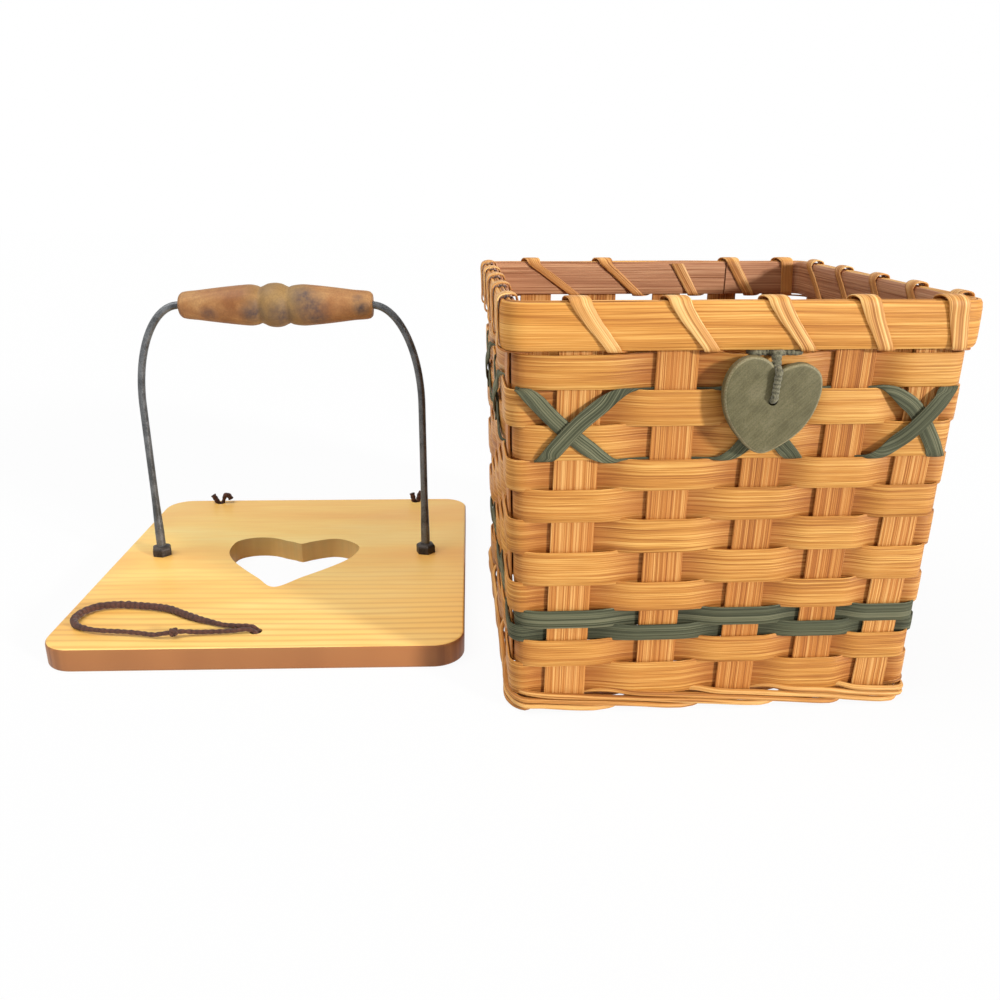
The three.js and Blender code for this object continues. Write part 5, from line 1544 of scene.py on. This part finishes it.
def tie_thickness(run):
    """Gathered under the rim, then one cord down the face."""
    thinned = ease((run - GATHERED_FOR) / THINS_WITHIN)
    return CORD_GATHERED + (CORD_SHOWN + SMALL_GAP - CORD_GATHERED) * thinned


heart_tie, tie_path = laid_cord(
    "heart_tie_twisted", tie_points, tie_thickness, HEART_TIE_PITCH, HEART_TIE_STEP)
finish_piece(heart_tie, "grey_cord", "heart", "grey_cord", "heart_tie")
print("heart tie length in mm:", round(path_length(tie_path), 1))

# %% [markdown]
# The lid is one flat pine board with round corners and eased edges. A block is drawn to size, its
# upright edges are bevelled to the corner radius and then every edge is eased. The heart and the
# holes are cut out, as a jigsaw and a drill would.

# %% Lid board
BOARD_WIDTH, BOARD_DEPTH, BOARD_CORNER, BOARD_EASE = 199.0, 208.7, 15.0, 1.5
EDGE_STEPS, CORNER_STEPS, CUTOUT_STEP = 4, 14, 2.2
BAIL_X, BAIL_Y = 76.4, 9.6
WIRE_HOLE, NUT_RECESS, NUT_RECESS_DEPTH, TIE_HOLE = 4.7, 13, 5.2, 5.6
LOOP_HOLE_AT, LOOP_HOLE, KNOT_RECESS, KNOT_RECESS_DEPTH = (-1, -88), 6.2, 12, 5
BELOW, ABOVE = -2, 14
FLAT_NORMAL, SAWN_SHARE_PAINTED_LIGHT = 0.75, 0.45
CUTOUT_POINTS = [
    (-2.8, -37.3), (10.5, -24.5), (22.5, -12.5), (31.5, -1.5), (35.6, 7.8), (36.4, 18.6), (27.7, 28.6),
    (19.8, 31.3), (12.6, 29.4), (5.6, 26.0), (1.5, 23.5), (-2.9, 26.2), (-8.3, 28.8), (-15.5, 32.9),
    (-23.1, 34.5), (-31.0, 33.4), (-37.4, 28.7), (-38.7, 13.2), (-33.8, 0.5), (-24.5, -12.5), (-14.0, -25.0),
]
deselect()
bpy.ops.mesh.primitive_cube_add(size=1, location=(0, 0, BOARD_THICKNESS / 2 * MM))
board = bpy.context.object
board.name = "lid_board_pine"
board.scale = (BOARD_WIDTH * MM, BOARD_DEPTH * MM, BOARD_THICKNESS * MM)
settle(board)
ease_edges(board, is_upright, BOARD_CORNER * MM, CORNER_STEPS)
ease_edges(board, lambda a, b: abs(a.z - b.z) < ALIKE, BOARD_EASE * MM, EDGE_STEPS)
cutter = outline_plate("cutter", heart_outline(CUTOUT_POINTS, CUTOUT_STEP), 3 * THROUGH * MM, -THROUGH * MM)
cut(board, cutter)
for way in (-1, 1):
    drill(board, way * BAIL_X, BAIL_Y, WIRE_HOLE, BELOW, ABOVE)
    drill(board, way * BAIL_X, BAIL_Y, NUT_RECESS, BELOW, NUT_RECESS_DEPTH)
    drill(board, way * TIE_HOLE_X, TIE_ROW_Y, TIE_HOLE, BELOW, ABOVE)
drill(board, *LOOP_HOLE_AT, LOOP_HOLE, BELOW, ABOVE)
drill(board, *LOOP_HOLE_AT, KNOT_RECESS, BELOW, KNOT_RECESS_DEPTH)


def side_of_board(middle, normal):
    """The board's outer edges have darkened fully. The sawn walls inside it get only about half, as painted
    light against the shade in the cut-out.
    """
    if abs(normal.z) > FLAT_NORMAL:
        return 0.0
    margin = BOARD_CORNER + 1
    outer = abs(middle.x) > (BOARD_WIDTH / 2 - margin) * MM or abs(middle.y) > (BOARD_DEPTH / 2 - margin) * MM
    # Painted light: the sawn walls get only about half the edge darkening, against the shade in the cut-out.
    return 1.0 if outer else SAWN_SHARE_PAINTED_LIGHT


mark_faces(board, "side", side_of_board)
board.rotation_euler = (0, 0, LID_YAW)
board.location = LID_PLACE * MM
settle(board)
smooth_edges(board, 30)
print("lid board, mm:", [round(size / MM, 1) for size in board.dimensions])

# %% [markdown]
# Pine shows its yearly rings as soft brown lines, which here run from left to right. They lie close
# at the front and fade towards the back. Towards the right, by the basket, the top gets a painted
# shade, darker and more orange. The faces marked as sides are darker, as old edges are, and the sawn
# walls of the heart and holes are darkened only about half, as painted light against their shade.

# %% Pine
GRAIN_LINES_PER_METRE, CLOUD_STRETCH, PINE_RELIEF = 175, (5, 26, 26), 0.0001


def pine_finish():
    material, tree, shader = start_material("pine board", 0.42, Specular_IOR_Level=0.3)
    place = add(tree, "ShaderNodeTexCoord").outputs["Object"]
    moved = {"Vector": place, "Location": tuple(-LID_PLACE * MM)}
    shifted = add(tree, "ShaderNodeMapping", moved).outputs[0]
    turned = {"Vector": shifted, "Rotation": (0, 0, -LID_YAW)}
    centred = add(tree, "ShaderNodeMapping", turned).outputs[0]
    at = add(tree, "ShaderNodeSeparateXYZ", {0: centred}).outputs
    stretch = add(tree, "ShaderNodeMapping", {"Vector": centred, "Scale": CLOUD_STRETCH}).outputs[0]
    drift = add(tree, "ShaderNodeTexNoise", {"Vector": stretch, "Scale": 1.0, "Detail": 2.0}).outputs[0]
    even = maths(tree, "MULTIPLY", at[1], 2.0 * GRAIN_LINES_PER_METRE)
    ring = maths(tree, "MULTIPLY_ADD", drift, 5.0, even)
    wave = maths(tree, "SINE", maths(tree, "MULTIPLY", ring, math.pi))
    line = maths(tree, "POWER", fit(tree, wave, -1, 1), 3.0)
    dense = fit(tree, at[1], 0.01, -0.08, 0.08, 1)
    wood = effect(tree, "fibre", {"Place": centred, "Strip": 0.0, "Along": 22.0, "Across": 900.0})
    cloud = effect(tree, "blotch", {"Place": stretch, "Scale": 1.1, "Sharpness": 2.6})["Mask"]
    stops = [(0.15, tint(248, 190, 98)), (0.6, tint(254, 212, 122)), (0.95, tint(255, 226, 144))]
    base = ramp(tree, cloud, stops)
    # Painted shade: towards the right, by the basket, the top is mixed towards a darker orange.
    right_painted_shade = mix(tree, fit(tree, at[0], -0.02, 0.1, 0, 0.4), base, tint(232, 166, 88))
    lines = maths(tree, "MULTIPLY", maths(tree, "MULTIPLY", line, dense), 0.42)
    lined = mix(tree, lines, right_painted_shade, tint(200, 132, 62))
    fine = mix(tree, maths(tree, "MULTIPLY", wood["Fibre"], 0.16), lined, tint(216, 152, 80))
    side = add(tree, "ShaderNodeAttribute", attribute_name="side").outputs["Fac"]
    dark = mix(tree, wood["Streak"], tint(166, 106, 64), tint(126, 76, 48))
    tree.links.new(mix(tree, maths(tree, "MULTIPLY", side, 0.95), fine, dark), shader.inputs["Base Color"])
    tree.links.new(fit(tree, cloud, 0, 1, 0.38, 0.5), shader.inputs["Roughness"])
    bumps(tree, shader, maths(tree, "MULTIPLY_ADD", line, 0.4, wood["Fibre"]), 0.12, PINE_RELIEF)
    return material


FINISHES["pine"] = pine_finish()
finish_piece(board, "pine", "lid", "pine", "lid_board")
print("board's finish:", board.active_material.name)

# %% [markdown]
# The bail is a steel wire bent to a high arch, with its feet through the board. A bent wire is one
# round section along its route. It was coated dark, and the coating is thicker just above the nuts.

# %% Bail wire
WIRE, WIRE_FOOT, SHOULDER, GRIP_AXIS, GRIP_LENGTH = 4.0, 1.0, 100.0, 154.7, 101.6
GRIP_PLAY, FOOT_STEPS, BEND_POINTS, WIRE_SIDES = 0.3, 12, 30, 20
COAT_EXTRA, COAT_FROM, COAT_GROWS_OVER, COAT_TO, COAT_FADES_OVER = 1.1, 14, 2, 48, 26


def bail_route():
    """Up from the left foot, round the shoulder, through the grip and down again."""
    straight = GRIP_LENGTH / 2 + GRIP_PLAY
    foot_rise = SHOULDER - 2 * WIRE_FOOT
    half = [(BAIL_X, WIRE_FOOT + foot_rise * k / FOOT_STEPS) for k in range(FOOT_STEPS + 1)]
    for k in range(BEND_POINTS + 1):
        t = QUARTER * k / BEND_POINTS
        x = straight + (BAIL_X - straight) * math.cos(t)
        half.append((x, SHOULDER + (GRIP_AXIS - SHOULDER) * math.sin(t)))
    left = [on_lid(-x, BAIL_Y, z) for x, z in half]
    right = [on_lid(x, BAIL_Y, z) for x, z in half[::-1]]
    return left + right


wire_route = bail_route()
wire_length = path_length(wire_route)


def wire_section(run):
    """The wire is thicker just above each top nut, where its coating has gathered."""
    above_foot = min(run, wire_length - run)
    grown = ease((above_foot - COAT_FROM) / COAT_GROWS_OVER)
    faded = ease((COAT_TO - above_foot) / COAT_FADES_OVER)
    return round_section(WIRE + COAT_EXTRA * grown * faded, WIRE_SIDES)


wire = sweep("bail_wire_bent", tube_stations(wire_route, wire_section), smooth=REED_SMOOTHING)
print("bail wire length in mm:", round(wire_length, 1))

# %% [markdown]
# The wire and the nuts are dark coated steel, dulled and pitted by handling. One finish serves both
# with other tints, because only their colour and their shine differ.

# %% Coated steel
PIT_RELIEF = 0.00008


def steel_finish(name, dark, light, roughness, metallic):
    material, tree, shader = start_material(name, roughness, Metallic=metallic)
    place = add(tree, "ShaderNodeTexCoord").outputs["Object"]
    cloud = effect(tree, "blotch", {"Place": place, "Scale": 170.0, "Sharpness": 3.0})["Mask"]
    pits = effect(tree, "blotch", {"Place": place, "Scale": 1500.0, "Sharpness": 4.0})["Mask"]
    both = maths(tree, "MULTIPLY_ADD", pits, 0.4, maths(tree, "MULTIPLY", cloud, 0.6))
    tree.links.new(ramp(tree, both, [(0.2, dark), (0.8, light)]), shader.inputs["Base Color"])
    tree.links.new(fit(tree, both, 0, 1, roughness - 0.1, roughness + 0.18), shader.inputs["Roughness"])
    bumps(tree, shader, pits, 0.2, PIT_RELIEF)
    return material


FINISHES["wire"] = steel_finish("drawn steel wire", tint(72, 74, 76), tint(112, 114, 116), 0.4, 0.6)
FINISHES["nut"] = steel_finish("blackened nut", tint(34, 30, 28), tint(74, 66, 60), 0.5, 0.5)
finish_piece(wire, "wire", "lid", "bail_steel", "bail_wire")
print("wire's finish:", wire.active_material.name)

# %% [markdown]
# Each foot is held by a dark nut on the board and a thinner one in a recess under it. A nut is a six
# sided cylinder whose top edge is rounded, and then bored for the wire.

# %% Nuts
NUTS = {
    "top": {"shape": "domed", "bottom": 12.1, "radius": 5.7, "height": 5.6, "dome": 2.3},
    "lower": {"shape": "flat", "bottom": 1.9, "radius": 5.1, "height": 3.0, "dome": 0.4},
}
NUT_SIDES, NUT_BORE, NUT_TURN, DOME_STEPS = 6, 4.1, 0.3, 5
CORNER_EASE, CORNER_EASE_STEPS = 0.25, 2


def make_nut(name, x, bottom, radius, height, dome):
    """Hexagonal nut with a rounded top edge, bored for the wire."""
    deselect()
    bpy.ops.mesh.primitive_cylinder_add(
        vertices=NUT_SIDES, radius=radius * MM, depth=height * MM, location=(0, 0, height / 2 * MM))
    nut = bpy.context.object
    nut.name = name
    settle(nut)
    ease_edges(nut, at_level(height * MM), dome * MM, DOME_STEPS)
    ease_edges(nut, is_upright, CORNER_EASE * MM, CORNER_EASE_STEPS)
    drill(nut, 0, 0, NUT_BORE, -1, height + 1)
    nut.location = on_lid(x, BAIL_Y, bottom) * MM
    nut.rotation_euler = (0, 0, LID_YAW + NUT_TURN)
    settle(nut)
    smooth_edges(nut, 30)
    return nut


for way, side in ((-1, "left"), (1, "right")):
    for kind, size in NUTS.items():
        name = f"bail_nut_{kind}_{side}"
        nut = make_nut(
            f"{name}_{size['shape']}", way * BAIL_X,
            size["bottom"], size["radius"], size["height"], size["dome"])
        finish_piece(nut, "nut", "lid", "nut_steel", name)
print("nuts:", 2 * len(NUTS))

# %% [markdown]
# The grip is turned on a lathe: two tapering barrels with a round bead between them. Its profile is
# spun round the wire, the way a lathe makes it.

# %% Turned grip
GRIP_RADIUS, BORE_RADIUS, GRIP_SHIFT = 11.6, 2.4, 0.9
PROFILE_STEP, LATHE_STEPS = 1.0, 48

# Share of the length from the left end, and share of the largest radius
GRIP_SHARES = [
    (0, 0.46), (0.012, 0.57), (0.1, 0.68), (0.22, 0.81), (0.32, 0.9), (0.37, 0.925), (0.405, 0.87),
    (0.42, 0.815), (0.435, 0.86), (0.46, 0.96), (0.495, 1), (0.53, 0.96), (0.555, 0.86), (0.568, 0.815),
    (0.583, 0.87), (0.635, 0.93), (0.69, 0.9), (0.79, 0.81), (0.9, 0.69), (0.988, 0.6), (1, 0.49),
]


def grip_profile():
    rows = [[(along - 0.5) * GRIP_LENGTH, share * GRIP_RADIUS, 0.0] for along, share in GRIP_SHARES]
    smooth = [(x, radius) for x, radius, _ in smooth_run(rows, PROFILE_STEP)]
    return [(smooth[0][0], BORE_RADIUS), *smooth, (smooth[-1][0], BORE_RADIUS)]


def spin_profile(name, profile, sides):
    """Turns a closed profile round the X axis, as a lathe would."""
    mesh = bpy.data.meshes.new(name)
    points = [Vector((x, 0, r)) * MM for x, r in profile]
    count = len(points)
    mesh.from_pydata(points, [(k, (k + 1) % count) for k in range(count)], [])
    piece = bpy.data.objects.new(name, mesh)
    scene.collection.objects.link(piece)
    make_active(piece)
    set_mode("EDIT")
    bpy.ops.mesh.select_all(action="SELECT")
    bpy.ops.mesh.spin(steps=sides, angle=2 * math.pi, center=(0, 0, 0), axis=(1, 0, 0))
    bpy.ops.mesh.select_all(action="SELECT")
    bpy.ops.mesh.remove_doubles(threshold=ALIKE)
    bpy.ops.mesh.normals_make_consistent(inside=False)
    set_mode("OBJECT")
    return piece


grip = spin_profile("bail_grip_turned", grip_profile(), LATHE_STEPS)
grip.rotation_euler = (0, 0, LID_YAW)
grip.location = on_lid(GRIP_SHIFT, BAIL_Y, GRIP_AXIS) * MM
settle(grip)
smooth_edges(grip, 50)
print("grip, mm:", [round(size / MM, 1) for size in grip.dimensions])

# %% [markdown]
# The grip is bare wood that hands have darkened. It is greenish round the bead, speckled all over, and
# has a few blue black stains on its front, each a spot with a ragged edge.

# %% Grip wood
GRIP_RELIEF, STAIN_DEPTH, STAIN_OUTER, STAIN_INNER = 0.00015, 0.8, 1.35, 0.35

# The stains on the front of the grip: place along it, height on it and reach
STAINS = [
    (3.8, -4.0, 7.0), (16.5, 5.0, 6.5), (19.5, -1.0, 8.5), (23.0, -6.0, 6.5), (-10.5, -3.0, 6.0),
    (46.0, -1.0, 4.0), (44.5, 5.0, 3.0), (-34.0, -5.0, 5.0),
]


def grip_finish():
    material, tree, shader = start_material("turned wood", 0.6, Specular_IOR_Level=0.3)
    place = add(tree, "ShaderNodeTexCoord").outputs["Object"]
    middle = on_lid(0, BAIL_Y, GRIP_AXIS) * MM
    centred = add(tree, "ShaderNodeMapping", {"Vector": place, "Location": tuple(-middle)}).outputs[0]
    wood = effect(tree, "fibre", {"Place": centred, "Strip": 0.3, "Along": 24.0, "Across": 700.0})
    along = add(tree, "ShaderNodeSeparateXYZ", {0: centred}).outputs[0]
    cloud = effect(tree, "blotch", {"Place": centred, "Scale": 60.0, "Sharpness": 2.6})["Mask"]
    base = ramp(tree, cloud, [(0.1, tint(138, 90, 54)), (0.5, tint(166, 118, 74)), (0.9, tint(180, 136, 88))])
    grained = mix(tree, maths(tree, "MULTIPLY", wood["Fibre"], 0.4), base, tint(122, 78, 44))
    mossy = fit(tree, maths(tree, "ABSOLUTE", maths(tree, "SUBTRACT", along, 0.003)), 0.02, 0.008)
    greened = mix(tree, maths(tree, "MULTIPLY", mossy, 0.55), grained, tint(134, 116, 72))
    ragged = effect(tree, "blotch", {"Place": centred, "Scale": 420.0, "Sharpness": 3.0})["Mask"]
    stains = 0.0
    for place_on_grip, height, reach in STAINS:
        spot = (place_on_grip * MM, -GRIP_RADIUS * STAIN_DEPTH * MM, height * MM)
        near = add(tree, "ShaderNodeVectorMath", {0: centred, 1: spot}, operation="DISTANCE").outputs["Value"]
        spread = fit(tree, near, reach * STAIN_OUTER * MM, reach * STAIN_INNER * MM)
        stains = maths(tree, "MAXIMUM", stains, spread)
    stain = maths(tree, "MULTIPLY", stains, fit(tree, ragged, 0, 1, 0.45, 0.95))
    speck = effect(tree, "blotch", {"Place": centred, "Scale": 1100.0, "Sharpness": 5.0})["Mask"]
    specked = mix(tree, maths(tree, "MULTIPLY", speck, 0.22), greened, tint(96, 66, 44))
    tree.links.new(mix(tree, stain, specked, tint(78, 66, 66)), shader.inputs["Base Color"])
    tree.links.new(fit(tree, cloud, 0, 1, 0.5, 0.66), shader.inputs["Roughness"])
    bumps(tree, shader, wood["Height"], 0.25, GRIP_RELIEF)
    return material


FINISHES["grip"] = grip_finish()
finish_piece(grip, "grip", "grip", "grip_wood", "bail_grip")
print("stains on the grip:", len(STAINS), "and finishes in all:", len(FINISHES))
